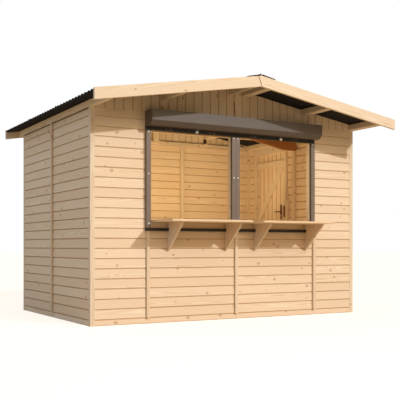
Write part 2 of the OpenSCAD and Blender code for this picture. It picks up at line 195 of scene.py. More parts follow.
@dataclass(frozen=True)
class RoofPlane:
    """The underside of the roofing sheets: a ridge over the middle and two even slopes."""

    ridge: float
    pitch: float

    @classmethod
    def read(cls, frame: CadFrame) -> RoofPlane:
        """Reads the ridge off the front gable and the pitch off a bargeboard."""
        ridge = frame.box("front_gable").high.z
        points = frame.points("bargeboard_front_right")
        end = max(p.x for p in points)
        top = max(p.z for p in points if abs(p.x) < 1e-4)
        eave = max(p.z for p in points if p.x > end - 1e-4)
        return cls(ridge, math.atan2(top - eave, end))

    def height(self, x: float) -> float:
        """Height of the underside at a distance from the ridge."""
        return self.ridge - abs(x) * math.tan(self.pitch)

    def frame(self, side: int) -> Matrix:
        """Frame of one slope: x runs down from the ridge and z stands square to the slope.

        Args:
            side: 1 for the right slope, -1 for the left one.

        Returns:
            The matrix from the slope's frame to the stall's.
        """
        along = Vector((side * math.cos(self.pitch), 0, -math.sin(self.pitch)))
        square = Vector((side * math.sin(self.pitch), 0, math.cos(self.pitch)))
        matrix = Matrix((along, square.cross(along), square)).transposed().to_4x4()
        matrix.translation = Vector((0, 0, self.ridge))
        return matrix


# ------------------------------------------------------------------------- finishes


class Recipe:
    """Adds shader nodes to one material and joins them."""

    def __init__(self, name: str) -> None:
        """Starts a material with an empty Principled shader.

        Args:
            name: Name of the material.
        """
        self.material = bpy.data.materials.new(name)
        self.material.use_nodes = True
        self.tree = self.material.node_tree
        self.shader = self.tree.nodes["Principled BSDF"]

    def node(self, kind: str, settings: Optional[dict[str, Any]] = None, **inputs: Value) -> bpy.types.Node:
        """Adds a node.

        Args:
            kind: Type of the node without its ShaderNode prefix.
            settings: Properties of the node.
            **inputs: Values or sockets for its inputs, by name with spaces as underscores,
                or by number after an i.

        Returns:
            The new node.
        """
        node = self.tree.nodes.new("ShaderNode" + kind)
        for key, value in (settings or {}).items():
            setattr(node, key, value)
        for key, value in inputs.items():
            numbered = key[0] == "i" and key[1:].isdigit()
            socket = node.inputs[int(key[1:]) if numbered else key.replace("_", " ")]
            self.feed(socket, value)
        return node

    def feed(self, socket: bpy.types.NodeSocket, value: Value) -> None:
        """Links a socket to another, or gives it a value.

        Args:
            socket: The input to feed.
            value: A socket to link, or the value itself.
        """
        if isinstance(value, bpy.types.NodeSocket):
            self.tree.links.new(value, socket)
        else:
            socket.default_value = value

    def math(self, operation: str, *values: Value) -> bpy.types.NodeSocket:
        """Adds a Math node and gives its result."""
        inputs = {f"i{i}": value for i, value in enumerate(values)}
        return self.node("Math", {"operation": operation}, **inputs).outputs[0]

    def ramp(self, value: Value, start: float, end: float,
             low: float = 0, high: float = 1) -> bpy.types.NodeSocket:
        """Maps a value smoothly from one range to another.

        Args:
            value: The value to map.
            start: Where the range starts.
            end: Where the range ends.
            low: The result at the start.
            high: The result at the end.

        Returns:
            The socket with the mapped value.
        """
        kind = {"interpolation_type": "SMOOTHSTEP"}
        node = self.node("MapRange", kind, i0=value, i1=start, i2=end, i3=low, i4=high)
        return node.outputs[0]

    def mix(self, factor: Value, first: Value, second: Value, blend: str = "MIX") -> bpy.types.NodeSocket:
        """Mixes two colours.

        Args:
            factor: Share of the second colour.
            first: The first colour.
            second: The second colour.
            blend: How they are blended.

        Returns:
            The socket with the mixed colour.
        """
        node = self.node("Mix", {"data_type": "RGBA", "blend_type": blend})
        for socket, value in ((node.inputs[0], factor), (node.inputs[6], first), (node.inputs[7], second)):
            if not isinstance(value, (float, int, bpy.types.NodeSocket)):
                value = (*value, 1.0)
            self.feed(socket, value)
        return node.outputs[2]

    def scaled(self, vector: bpy.types.NodeSocket, factors: Colour) -> bpy.types.NodeSocket:
        """Multiplies a vector by a factor for each axis."""
        return self.node("VectorMath", {"operation": "MULTIPLY"}, i0=vector, i1=factors).outputs[0]

    def noise(self, vector: bpy.types.NodeSocket, scale: float, detail: float = 2.0) -> bpy.types.NodeSocket:
        """Adds a noise texture and gives its value."""
        return self.node("TexNoise", None, Vector=vector, Scale=scale, Detail=detail).outputs[0]

    def bump(self, height: bpy.types.NodeSocket, depth: float) -> None:
        """Gives the shader a bump.

        Args:
            height: The height from 0 to 1.
            depth: Depth of the bump in metres.
        """
        node = self.node("Bump", None, Height=height, Distance=depth, Strength=1.0)
        self.feed(self.shader.inputs["Normal"], node.outputs[0])

    def shade(self, **inputs: Value) -> bpy.types.Material:
        """Feeds the shader and gives the material.

        Args:
            **inputs: Values or sockets by input name, with spaces as underscores.

        Returns:
            The finished material.
        """
        for key, value in inputs.items():
            if isinstance(value, tuple) and len(value) == 3:
                value = (*value, 1.0)
            self.feed(self.shader.inputs[key.replace("_", " ")], value)
        return self.material


@dataclass(frozen=True)
class WoodFinish:
    """Softwood with year rings, fibres and knots, read from each timber's own grain."""

    name: str
    early: Colour
    late: Colour
    warm: Colour
    knot: Colour = (0.50, 0.29, 0.145)
    # Colour and share of the darkened seams: partly dark joints, partly painted shade in the grooves.
    seam: Colour = (0.25, 0.155, 0.085)
    seam_dark_and_shade_share: float = 0.42
    ring_pitch: float = 0.0034
    ring_share: float = 0.55
    knot_cells: tuple[float, float] = (2.8, 8.0)
    knot_share: float = 0.62
    knot_radius: float = 0.0155
    tone_share: float = 0.26
    roughness: float = 0.62
    depth: float = 0.0005
    saw_marks: float = 0.0

    def make(self) -> bpy.types.Material:
        """Builds the material.

        Returns:
            The wood material.
        """
        mix = Recipe(self.name)
        grain = mix.node("Attribute", {"attribute_name": "grain"}).outputs["Vector"]
        tone = mix.node("Attribute", {"attribute_name": "tone"}).outputs["Fac"]
        split = mix.node("SeparateXYZ", None, Vector=grain)
        along, across, through = split.outputs
        knot, swirl = self._knots(mix, along, across)
        rings = self._rings(mix, grain, across, through, swirl)
        fibre = mix.noise(mix.scaled(grain, (6.0, 420.0, 420.0)), 1.0, 2.0)
        patch = mix.noise(mix.scaled(grain, (1.3, 9.0, 9.0)), 1.0, 2.0)
        colour = mix.mix(mix.math("MULTIPLY", rings, self.ring_share), self.early, self.late)
        colour = mix.mix(mix.ramp(patch, 0.38, 0.68, 0.0, 0.55), colour, self.warm)
        shadow = mix.math("MULTIPLY", mix.ramp(fibre, 0.35, 0.75), 0.10)
        colour = mix.mix(shadow, colour, self.late)
        dark = mix.math("MULTIPLY", mix.math("SUBTRACT", 1.0, tone), self.tone_share)
        colour = mix.mix(dark, colour, self.late)
        colour = mix.mix(knot, colour, self.knot)
        # Where the tone falls below zero the seam colour comes in: partly dark joints, partly painted shade.
        seam = mix.ramp(mix.math("SUBTRACT", 0.0, tone), -0.1, 2.6, 0.0, self.seam_dark_and_shade_share)
        colour = mix.mix(seam, colour, self.seam)
        height = mix.math("SUBTRACT", mix.math("MULTIPLY", fibre, 0.6), mix.math("MULTIPLY", rings, 0.3))
        height = mix.math("ADD", height, mix.math("MULTIPLY", knot, 0.4))
        if self.saw_marks:
            lines = mix.noise(mix.scaled(grain, (260.0, 6.0, 6.0)), 1.0, 1.0)
            height = mix.math("ADD", height, mix.math("MULTIPLY", lines, self.saw_marks))
        mix.bump(height, self.depth)
        rough = mix.ramp(rings, 0.0, 1.0, self.roughness + 0.05, self.roughness - 0.08)
        return mix.shade(Base_Color=colour, Roughness=rough)

    def _knots(
        self, mix: Recipe, along: bpy.types.NodeSocket, across: bpy.types.NodeSocket
    ) -> tuple[bpy.types.NodeSocket, bpy.types.NodeSocket]:
        """Scatters knots of several sizes over the boards.

        Args:
            mix: The recipe to add to.
            along: Place along the grain.
            across: Place across the grain.

        Returns:
            How much of a knot shows, and how far the grain swirls round it.
        """
        cell_x, cell_y = self.knot_cells
        place = mix.node("CombineXYZ", None, X=mix.math("MULTIPLY", along, cell_x),
                         Y=mix.math("MULTIPLY", across, cell_y)).outputs[0]
        cells = mix.node("TexVoronoi", {"voronoi_dimensions": "2D"}, Vector=place, Scale=1.0)
        offset = mix.node("VectorMath", {"operation": "SUBTRACT"}, i0=place,
                          i1=cells.outputs["Position"]).outputs[0]
        offset = mix.scaled(offset, (0.72 / cell_x, 1.0 / cell_y, 1.0))
        distance = mix.node("VectorMath", {"operation": "LENGTH"}, i0=offset).outputs["Value"]
        chance = mix.node("SeparateColor", None, Color=cells.outputs["Color"]).outputs[0]
        radius = mix.ramp(chance, 1.0 - self.knot_share, 1.0, self.knot_radius * 0.35, self.knot_radius)
        kept = mix.math("GREATER_THAN", chance, 1.0 - self.knot_share)
        ratio = mix.math("DIVIDE", distance, mix.math("MAXIMUM", mix.math("MULTIPLY", radius, kept), 1e-4))
        rim = mix.ramp(ratio, 0.35, 1.25, 1.0, 0.0)
        heart = mix.ramp(ratio, 0.1, 0.7, 0.5, 0.95)
        knot = mix.math("MULTIPLY", rim, heart)
        swirl = mix.ramp(ratio, 0.8, 4.0, 1.0, 0.0)
        return knot, swirl

    def _rings(
        self,
        mix: Recipe,
        grain: bpy.types.NodeSocket,
        across: bpy.types.NodeSocket,
        through: bpy.types.NodeSocket,
        swirl: bpy.types.NodeSocket,
    ) -> bpy.types.NodeSocket:
        """Cuts the board out of a log, so that its year rings show as grain.

        Args:
            mix: The recipe to add to.
            grain: Place in the log.
            across: Place across the log.
            through: Place through the log.
            swirl: How far the grain turns aside for a knot.

        Returns:
            The late wood of the rings, from 0 to 1.
        """
        bend = mix.noise(mix.scaled(grain, (1.1, 2.2, 2.2)), 1.0, 1.0)
        bend = mix.math("MULTIPLY", mix.math("SUBTRACT", bend, 0.5), 0.05)
        side = mix.math("ADD", across, bend)
        spread = mix.math("SQRT", mix.math("ADD", mix.math("MULTIPLY", side, side),
                                           mix.math("MULTIPLY", through, through)))
        count = mix.math("ADD", mix.math("DIVIDE", spread, self.ring_pitch),
                         mix.math("MULTIPLY", swirl, 1.8))
        wander = mix.noise(mix.scaled(grain, (4.0, 40.0, 40.0)), 1.0, 2.0)
        count = mix.math("ADD", count, mix.math("MULTIPLY", wander, 0.9))
        part = mix.math("FRACT", count)
        rise = mix.ramp(part, 0.25, 0.85)
        fall = mix.ramp(part, 0.88, 1.0, 1.0, 0.0)
        return mix.math("MULTIPLY", rise, fall)


@dataclass(frozen=True)
class CoatedMetalFinish:
    """Powder coated aluminium or steel with a fine skin and a little wear."""

    name: str
    colour: Colour
    worn: Colour
    roughness: float = 0.42
    grain: float = 900.0
    depth: float = 0.00012
    metallic: float = 0.0

    def make(self) -> bpy.types.Material:
        """Builds the material."""
        mix = Recipe(self.name)
        place = mix.node("TexCoord").outputs["Object"]
        skin = mix.noise(place, self.grain, 3.0)
        dust = mix.noise(mix.scaled(place, (3.0, 3.0, 9.0)), 1.0, 4.0)
        colour = mix.mix(mix.ramp(dust, 0.42, 0.78, 0.0, 0.45), self.colour, self.worn)
        colour = mix.mix(mix.ramp(skin, 0.3, 0.8, 0.0, 0.22), colour, self.worn)
        rough = mix.ramp(dust, 0.3, 0.8, self.roughness - 0.06, self.roughness + 0.14)
        mix.bump(skin, self.depth)
        return mix.shade(Base_Color=colour, Roughness=rough, Metallic=self.metallic)


@dataclass(frozen=True)
class RoofingFinish:
    """Corrugated bitumen sheet: matt, fibrous and nearly black."""

    name: str
    colour: Colour
    dusty: Colour

    def make(self) -> bpy.types.Material:
        """Builds the material."""
        mix = Recipe(self.name)
        place = mix.node("TexCoord").outputs["Object"]
        fibre = mix.noise(mix.scaled(place, (240.0, 240.0, 240.0)), 1.0, 4.0)
        patch = mix.noise(place, 2.3, 4.0)
        streak = mix.noise(mix.scaled(place, (1.2, 26.0, 1.2)), 1.0, 3.0)
        colour = mix.mix(mix.ramp(patch, 0.35, 0.75, 0.0, 0.5), self.colour, self.dusty)
        colour = mix.mix(mix.ramp(streak, 0.5, 0.8, 0.0, 0.35), colour, self.dusty)
        colour = mix.mix(mix.ramp(fibre, 0.45, 0.8, 0.0, 0.4), colour, self.dusty)
        mix.bump(fibre, 0.0009)
        rough = mix.ramp(fibre, 0.2, 0.8, 0.72, 0.9)
        return mix.shade(Base_Color=colour, Roughness=rough)


@dataclass(frozen=True)
class BareMetalFinish:
    """Bright zinc or steel of screws, nails and angle plates."""

    name: str
    colour: Colour
    roughness: float = 0.38
    metallic: float = 0.85

    def make(self) -> bpy.types.Material:
        """Builds the material."""
        mix = Recipe(self.name)
        place = mix.node("TexCoord").outputs["Object"]
        spangle = mix.node("TexVoronoi", None, Vector=place, Scale=160.0).outputs["Color"]
        shade = mix.node("SeparateColor", None, Color=spangle).outputs[0]
        darker = tuple(c * 0.72 for c in self.colour)
        colour = mix.mix(mix.ramp(shade, 0.0, 1.0, 0.0, 0.6), self.colour, darker)
        scratch = mix.noise(mix.scaled(place, (90.0, 900.0, 90.0)), 1.0, 2.0)
        mix.bump(scratch, 0.00006)
        rough = mix.ramp(scratch, 0.2, 0.8, self.roughness - 0.08, self.roughness + 0.12)
        return mix.shade(Base_Color=colour, Roughness=rough, Metallic=self.metallic)


@dataclass(frozen=True)
class PlasticFinish:
    """Moulded plastic of stops, plugs and brush strips."""

    name: str
    colour: Colour
    roughness: float = 0.4

    def make(self) -> bpy.types.Material:
        """Builds the material."""
        mix = Recipe(self.name)
        place = mix.node("TexCoord").outputs["Object"]
        cloud = mix.noise(place, 60.0, 3.0)
        fine = mix.noise(place, 1600.0, 2.0)
        darker = tuple(c * 0.8 for c in self.colour)
        colour = mix.mix(mix.ramp(cloud, 0.35, 0.75, 0.0, 0.5), self.colour, darker)
        mix.bump(fine, 0.00005)
        rough = mix.ramp(cloud, 0.3, 0.7, self.roughness - 0.05, self.roughness + 0.1)
        return mix.shade(Base_Color=colour, Roughness=rough)


BOARDS = WoodFinish("planed_boards", (0.88, 0.72, 0.535), (0.66, 0.42, 0.22), (0.86, 0.655, 0.48))
FRAMING = WoodFinish(
    "planed_framing", (0.82, 0.69, 0.53), (0.62, 0.415, 0.235), (0.79, 0.63, 0.47),
    knot_cells=(1.9, 9.0), ring_pitch=0.0042,
)
SAWN = WoodFinish(
    "sawn_roof_timber", (0.88, 0.73, 0.56), (0.68, 0.48, 0.29), (0.84, 0.68, 0.50),
    knot_cells=(1.6, 8.0), ring_pitch=0.0046, roughness=0.74, depth=0.0009, saw_marks=0.9,
)
# Darker, redder wood of the truss rafters: painted shade, standing in for the deep shade that the rafters
# sit in.
SHADE_DARKENED_TRUSS_WOOD = WoodFinish(
    "stained_truss_timber", (0.50, 0.215, 0.075), (0.30, 0.10, 0.028), (0.42, 0.165, 0.05),
    (0.12, 0.04, 0.015), knot_cells=(1.6, 8.0), ring_pitch=0.0046, roughness=0.7, depth=0.0009,
    saw_marks=0.9,
)
SHELF_WOOD = WoodFinish(
    "shelf_boards", (0.79, 0.62, 0.42), (0.68, 0.42, 0.20), (0.85, 0.62, 0.40),
    knot_cells=(1.7, 6.0), roughness=0.56,
)
BOX_COAT = CoatedMetalFinish("shutter_box_coat", (0.104, 0.080, 0.066), (0.132, 0.106, 0.088))
RAIL_COAT = CoatedMetalFinish("guide_rail_coat", (0.175, 0.128, 0.10), (0.215, 0.165, 0.13))
DARK_COAT = CoatedMetalFinish("closing_bar_coat", (0.022, 0.019, 0.018), (0.036, 0.032, 0.03), 0.38)
IRON_COAT = CoatedMetalFinish(
    "brown_ironmongery", (0.17, 0.072, 0.035), (0.22, 0.105, 0.055), 0.42, metallic=0.25,
)
ROOFING = RoofingFinish("bitumen_sheet", (0.0065, 0.0042, 0.0042), (0.017, 0.011, 0.0108))
CAPPING = RoofingFinish("ridge_capping", (0.085, 0.052, 0.044), (0.14, 0.095, 0.082))
ZINC = BareMetalFinish("zinc_fixings", (0.74, 0.73, 0.70))
NAIL_STEEL = BareMetalFinish("nail_heads", (0.30, 0.24, 0.18), 0.55, 0.5)
WHITE_PLASTIC = PlasticFinish("pale_stops", (0.92, 0.92, 0.90))
BRUSH = PlasticFinish("brush_strips", (0.02, 0.018, 0.017), 0.8)
# Dark brown pieces that paint shade: the shadow line over the back rail and a shaded hollow above it.
PAINTED_SHADE_BROWN = PlasticFinish("painted_shade_brown", (0.055, 0.026, 0.013), 0.9)
# Dark brown strips that paint the shadow between the side walls and the purlins.
PAINTED_SHADOW_STRIP = PlasticFinish("painted_shadow_strip", (0.13, 0.078, 0.036), 0.9)


class Paintshop:
    """Makes each finish once and hands out its material."""

    def __init__(self) -> None:
        """Starts with no material made."""
        self._made: dict[str, bpy.types.Material] = {}

    def material(self, finish: Any) -> bpy.types.Material:
        """Gives the material of a finish, made on its first use."""
        if finish.name not in self._made:
            self._made[finish.name] = finish.make()
        return self._made[finish.name]


PAINT = Paintshop()


# ------------------------------------------------------------------------- carpentry


@dataclass(frozen=True)
class Edge:
    """How the long edges of a timber are worked."""

    width: float = 0.0015
    depth: float = 0.0015
    segments: int = 2
    tongue: float = 0.0
    taper: float = 0.0
    # The last field darkens the tone of the long edges: partly dark joints, partly painted shade in the
    # grooves.
    seam_dark_and_shade: float = 0.0


ARRIS = Edge()
ROUNDED = Edge(0.004, 0.004, 3)
# Seam darkening of the boards: partly dark joints, partly painted shade in the grooves.
BOARD_JOINT = Edge(0.0050, 0.0042, 1, 0.006, seam_dark_and_shade=2.7)
LEVEL_JOINT = replace(BOARD_JOINT, taper=0.0042)
# The side walls stand in shade, so their seams get twice the darkening as painted shade.
SHADE_DARKENED_SIDE_JOINT = replace(LEVEL_JOINT, seam_dark_and_shade=5.4)
# The door leaf's seams are darkened strongly too, with painted shade in the grooves.
LEAF_JOINT = Edge(0.0085, 0.005, 1, 0.006, seam_dark_and_shade=4.6)


class Bench:
    """A bench on which one piece is made from timbers and fittings."""

    def __init__(self, name: str) -> None:
        """Starts an empty piece.

        Args:
            name: Name of the piece, from which its random choices are seeded too.
        """
        self.name = name
        self.random = random.Random(name)
        self.mesh = bmesh.new()
        self.finishes: list[Any] = []
        self.layers(self.mesh)

    @staticmethod
    def layers(mesh: bmesh.types.BMesh) -> tuple[Any, Any]:
        """Gives the grain and tone layers of a mesh, made if it has none."""
        layers = mesh.verts.layers
        grain = layers.float_vector.get("grain") or layers.float_vector.new("grain")
        tone = layers.float.get("tone") or layers.float.new("tone")
        return layers.float_vector.get("grain") or grain, tone

    def join(self, part: bmesh.types.BMesh, finish: Any, smooth: bool = False) -> None:
        """Adds a finished part to the piece.

        Args:
            part: The part, in the stall's frame. It is freed.
            finish: What the part is finished with.
            smooth: Whether its faces are shaded smooth.
        """
        if finish not in self.finishes:
            self.finishes.append(finish)
        for face in part.faces:
            face.material_index = self.finishes.index(finish)
            face.smooth = smooth
        self.layers(part)
        data = bpy.data.meshes.new("part")
        part.to_mesh(data)
        part.free()
        self.mesh.from_mesh(data)
        bpy.data.meshes.remove(data)

    def timber(
        self,
        box: Box,
        grain: Axis,
        finish: WoodFinish,
        edge: Edge = ARRIS,
        turned: Matrix = Matrix.Identity(4),
        trims: Iterable[Plane] = (),
        weather: int = 1,
    ) -> None:
        """Cuts a timber, works its edges and puts it in place.

        Args:
            box: Its size and place in the turned frame.
            grain: Which way its grain runs in that frame.
            finish: The wood.
            edge: How its long edges are worked.
            turned: The frame it lies in.
            trims: Planes that cut it, in the stall's frame; what lies past them is removed.
            weather: Which of its faces is thinned towards the top, if its edge tapers.
        """
        size = box.size
        others = [axis for axis in range(3) if axis != grain.value]
        width_axis, depth_axis = sorted(others, key=lambda axis: -size[axis])
        length, width, depth = size[grain.value], size[width_axis], size[depth_axis]
        part = bmesh.new()
        layer_grain, layer_tone = self.layers(part)
        bmesh.ops.create_cube(part, size=1.0)
        steep = edge.width / edge.depth
        bmesh.ops.scale(part, vec=(length, width, depth * steep), verts=part.verts)
        long_edges = [e for e in part.edges if abs(e.verts[0].co.x - e.verts[1].co.x) > length / 2]
        round_edges(part, long_edges, edge.width, edge.segments)
        bmesh.ops.scale(part, vec=(1, 1, 1 / steep), verts=part.verts)
        if edge.tongue:
            self._tongue_and_groove(part, edge)
        for vert in part.verts:
            if vert.co.z * weather > depth / 4:
                vert.co.z -= weather * edge.taper * (vert.co.y / width + 0.5)
        self.mark_grain(part, layer_grain, layer_tone)
        # Darkens the tone along both long edges: partly dark joints, partly painted shade in the grooves.
        for vert in part.verts:
            if abs(vert.co.y) > width / 2 - 1e-5:
                vert[layer_tone] -= edge.seam_dark_and_shade
        columns = [Vector(), Vector(), Vector()]
        columns[0][grain.value] = 1
        columns[1][width_axis] = 1
        columns[2] = columns[0].cross(columns[1])
        place = Matrix(columns).transposed().to_4x4()
        place.translation = box.middle
        bmesh.ops.transform(part, matrix=turned @ place, verts=part.verts)
        for trim in trims:
            self.trim(part, trim)
        if part.faces:
            self.join(part, finish)
        else:
            part.free()

    @staticmethod
    def _tongue_and_groove(part: bmesh.types.BMesh, edge: Edge) -> None:
        """Gives one long edge of a board a tongue and the other a groove.

        Args:
            part: The board, lying along x with its width along y.
            edge: How the edges are worked.
        """
        part.normal_update()
        for side, reach in ((1, edge.tongue * 0.9), (-1, edge.tongue)):
            faces = [f for f in part.faces if f.normal.y * side > 0.99]
            thickness = max(v.co.z for v in faces[0].verts) - min(v.co.z for v in faces[0].verts)
            bmesh.ops.inset_region(part, faces=faces, thickness=thickness * 0.24, use_even_offset=True)
            moved = bmesh.ops.extrude_discrete_faces(part, faces=faces)["faces"]
            verts = {v for f in moved for v in f.verts}
            bmesh.ops.translate(part, vec=(0, reach, 0), verts=list(verts))

    def mark_grain(self, part: bmesh.types.BMesh, layer_grain: Any, layer_tone: Any) -> None:
        """Writes each corner's place in the log that the timber came from.

        Args:
            part: The timber, lying along x.
            layer_grain: The layer of places in the log.
            layer_tone: The layer of the timber's own tone.
        """
        chance = self.random
        heart = Vector((chance.uniform(0, 40), chance.uniform(-0.07, 0.07), chance.uniform(0.015, 0.13)))
        drift = Vector((0, chance.uniform(-0.02, 0.02), chance.uniform(-0.012, 0.012)))
        flip = chance.choice((-1, 1))
        tone = chance.random()
        for vert in part.verts:
            place = Vector((vert.co.x, vert.co.y, vert.co.z * flip))
            vert[layer_grain] = heart + place + drift * vert.co.x
            vert[layer_tone] = tone

    @staticmethod
    def trim(part: bmesh.types.BMesh, plane: Plane) -> None:
        """Cuts a closed part with a plane and closes the cut.

        Args:
            part: The part to cut.
            plane: A point of the plane and its normal; what lies past it is removed.
        """
        geometry = part.verts[:] + part.edges[:] + part.faces[:]
        result = bmesh.ops.bisect_plane(part, geom=geometry, plane_co=plane[0], plane_no=plane[1],
                                        dist=1e-6, clear_outer=True)
        edges = [e for e in result["geom_cut"] if isinstance(e, bmesh.types.BMEdge)]
        if edges:
            bmesh.ops.holes_fill(part, edges=edges, sides=0)

    def round_part(
        self,
        place: Matrix,
        radius: float,
        height: float,
        finish: Any,
        top_radius: Optional[float] = None,
        segments: int = 12,
        bevel: float = 0.0,
    ) -> None:
        """Adds a round part, such as a nail head, a pin or a stop.

        Args:
            place: Frame of the part, which stands along its z from its foot.
            radius: Radius of the foot.
            height: Height of the part.
            finish: What it is finished with.
            top_radius: Radius of its top, if it isn't the same.
            segments: Number of its sides.
            bevel: Rounding of its rims.
        """
        part = bmesh.new()
        top = radius if top_radius is None else top_radius
        bmesh.ops.create_cone(part, cap_ends=True, segments=segments, radius1=radius, radius2=top,
                              depth=height, matrix=Matrix.Translation((0, 0, height / 2)))
        if bevel:
            rims = [e for e in part.edges if abs(e.verts[0].co.z - e.verts[1].co.z) < 1e-7]
            round_edges(part, rims, bevel, 2)
        bmesh.ops.transform(part, matrix=place, verts=part.verts)
        self.join(part, finish, smooth=segments > 8)

    def block(self, box: Box, finish: Any, bevel: float = 0.001, segments: int = 2,
              turned: Matrix = Matrix.Identity(4)) -> None:
        """Adds a block with rounded edges.

        Args:
            box: Its size and place in the turned frame.
            finish: What it is finished with.
            bevel: Rounding of its edges.
            segments: Number of steps in the rounding.
            turned: The frame it lies in.
        """
        part = bmesh.new()
        bmesh.ops.create_cube(part, size=1.0)
        bmesh.ops.scale(part, vec=box.size, verts=part.verts)
        if bevel:
            round_edges(part, part.edges[:], bevel, segments)
        bmesh.ops.transform(part, matrix=turned @ Matrix.Translation(box.middle), verts=part.verts)
        self.join(part, finish)

    def finish(self, slot: Slot, body: str = STALL, replaces: Sequence[str] = ()) -> bpy.types.Object:
        """Turns the piece into an object, dresses it and hands it to the frame.

        Args:
            slot: Not used.
            body: The body that it rides on.
            replaces: The CAD nodes that it stands for.

        Returns:
            The finished object.
        """
        data = bpy.data.meshes.new(self.name)
        self.mesh.to_mesh(data)
        self.mesh.free()
        piece = bpy.data.objects.new(self.name, data)
        bpy.context.scene.collection.objects.link(piece)
        for finish in self.finishes:
            data.materials.append(PAINT.material(finish))
        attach(piece, body)
        if replaces:
            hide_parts(*replaces)
        LOG.info("%s: %d faces on %s", self.name, len(data.polygons), body)
        return piece


def round_edges(part: bmesh.types.BMesh, edges: list[bmesh.types.BMEdge],
                width: float, segments: int) -> None:
    """Rounds or chamfers edges of a mesh.

    Args:
        part: The mesh.
        edges: Its edges that are worked.
        width: How far the rounding reaches.
        segments: Steps of the rounding; one gives a chamfer.
    """
    bmesh.ops.bevel(part, geom=edges, offset=width, offset_type="OFFSET", segments=segments,
                    profile=0.5, affect="EDGES", material=-1)


def corners(made: Iterable[Any]) -> list[bmesh.types.BMVert]:
    """Picks the corners out of what an operator made."""
    return [item for item in made if isinstance(item, bmesh.types.BMVert)]


def filled(box: Box) -> bmesh.types.BMesh:
    """Makes a plain block that fills a space."""
    part = bmesh.new()
    bmesh.ops.create_cube(part, size=1.0)
    bmesh.ops.scale(part, vec=box.size, verts=part.verts)
    bmesh.ops.translate(part, vec=box.middle, verts=part.verts)
    return part


def facing(point: Vector, normal: Vector) -> Matrix:
    """Gives a frame at a point whose z runs along a direction.

    Args:
        point: Origin of the frame.
        normal: Direction of its z.

    Returns:
        The matrix of the frame.
    """
    turn = Vector((0, 0, 1)).rotation_difference(normal).to_matrix().to_4x4()
    return Matrix.Translation(point) @ turn


# ----------------------------------------------------------------------------- walls


@dataclass
class BoardRows:
    """Where the level wall boards meet, counted up from the bottom board."""

    first: float
    pitch: float = 0.0908
    gap: float = 0.0036
    least: float = 0.012
    stand: float = 0.0006
    fit: float = 0.0002

    def spans(self, low: float, high: float) -> list[tuple[float, float]]:
        """Lists the boards between two heights.

        Args:
            low: Foot of the lowest board.
            high: Top of the highest board.

        Returns:
            The foot and the top of each board.
        """
        joints = [self.first + n * self.pitch for n in range(-1, 40)]
        inside = [z for z in joints if low + self.least < z < high - self.least]
        edges = [low, *inside, high]
        return list(zip(edges, edges[1:]))

    def lay(self, bench: Bench, box: Box, grain: Axis, trims: Iterable[Plane] = ()) -> None:
        """Lays the boards of a stretch of wall.

        Args:
            bench: The bench of the piece that they belong to.
            box: The stretch of wall.
            grain: Which way the boards run.
            trims: Planes that cut them.
        """
        through = Axis.Y if grain is Axis.X else Axis.X
        outward = math.copysign(1, box.middle[through.value])
        weather = int(outward if grain is Axis.Y else -outward)
        spans = self.spans(box.low.z, box.high.z)
        for foot, top in spans:
            last = (foot, top) == spans[-1]
            board = box.with_span(Axis.Z, foot + self.gap / 2, top - (self.fit if last else self.gap / 2))
            near, far = board.low[through.value], board.high[through.value]
            near += bench.random.uniform(0, self.stand)
            far -= bench.random.uniform(0, self.stand)
            board = board.with_span(through, near, far)
            # Side-wall boards take seams darkened further with painted shade.
            joint = SHADE_DARKENED_SIDE_JOINT if grain is Axis.Y else LEVEL_JOINT
            edge = replace(joint, tongue=0.0) if last else joint
            bench.timber(board, grain, BOARDS, edge, trims=trims, weather=weather)


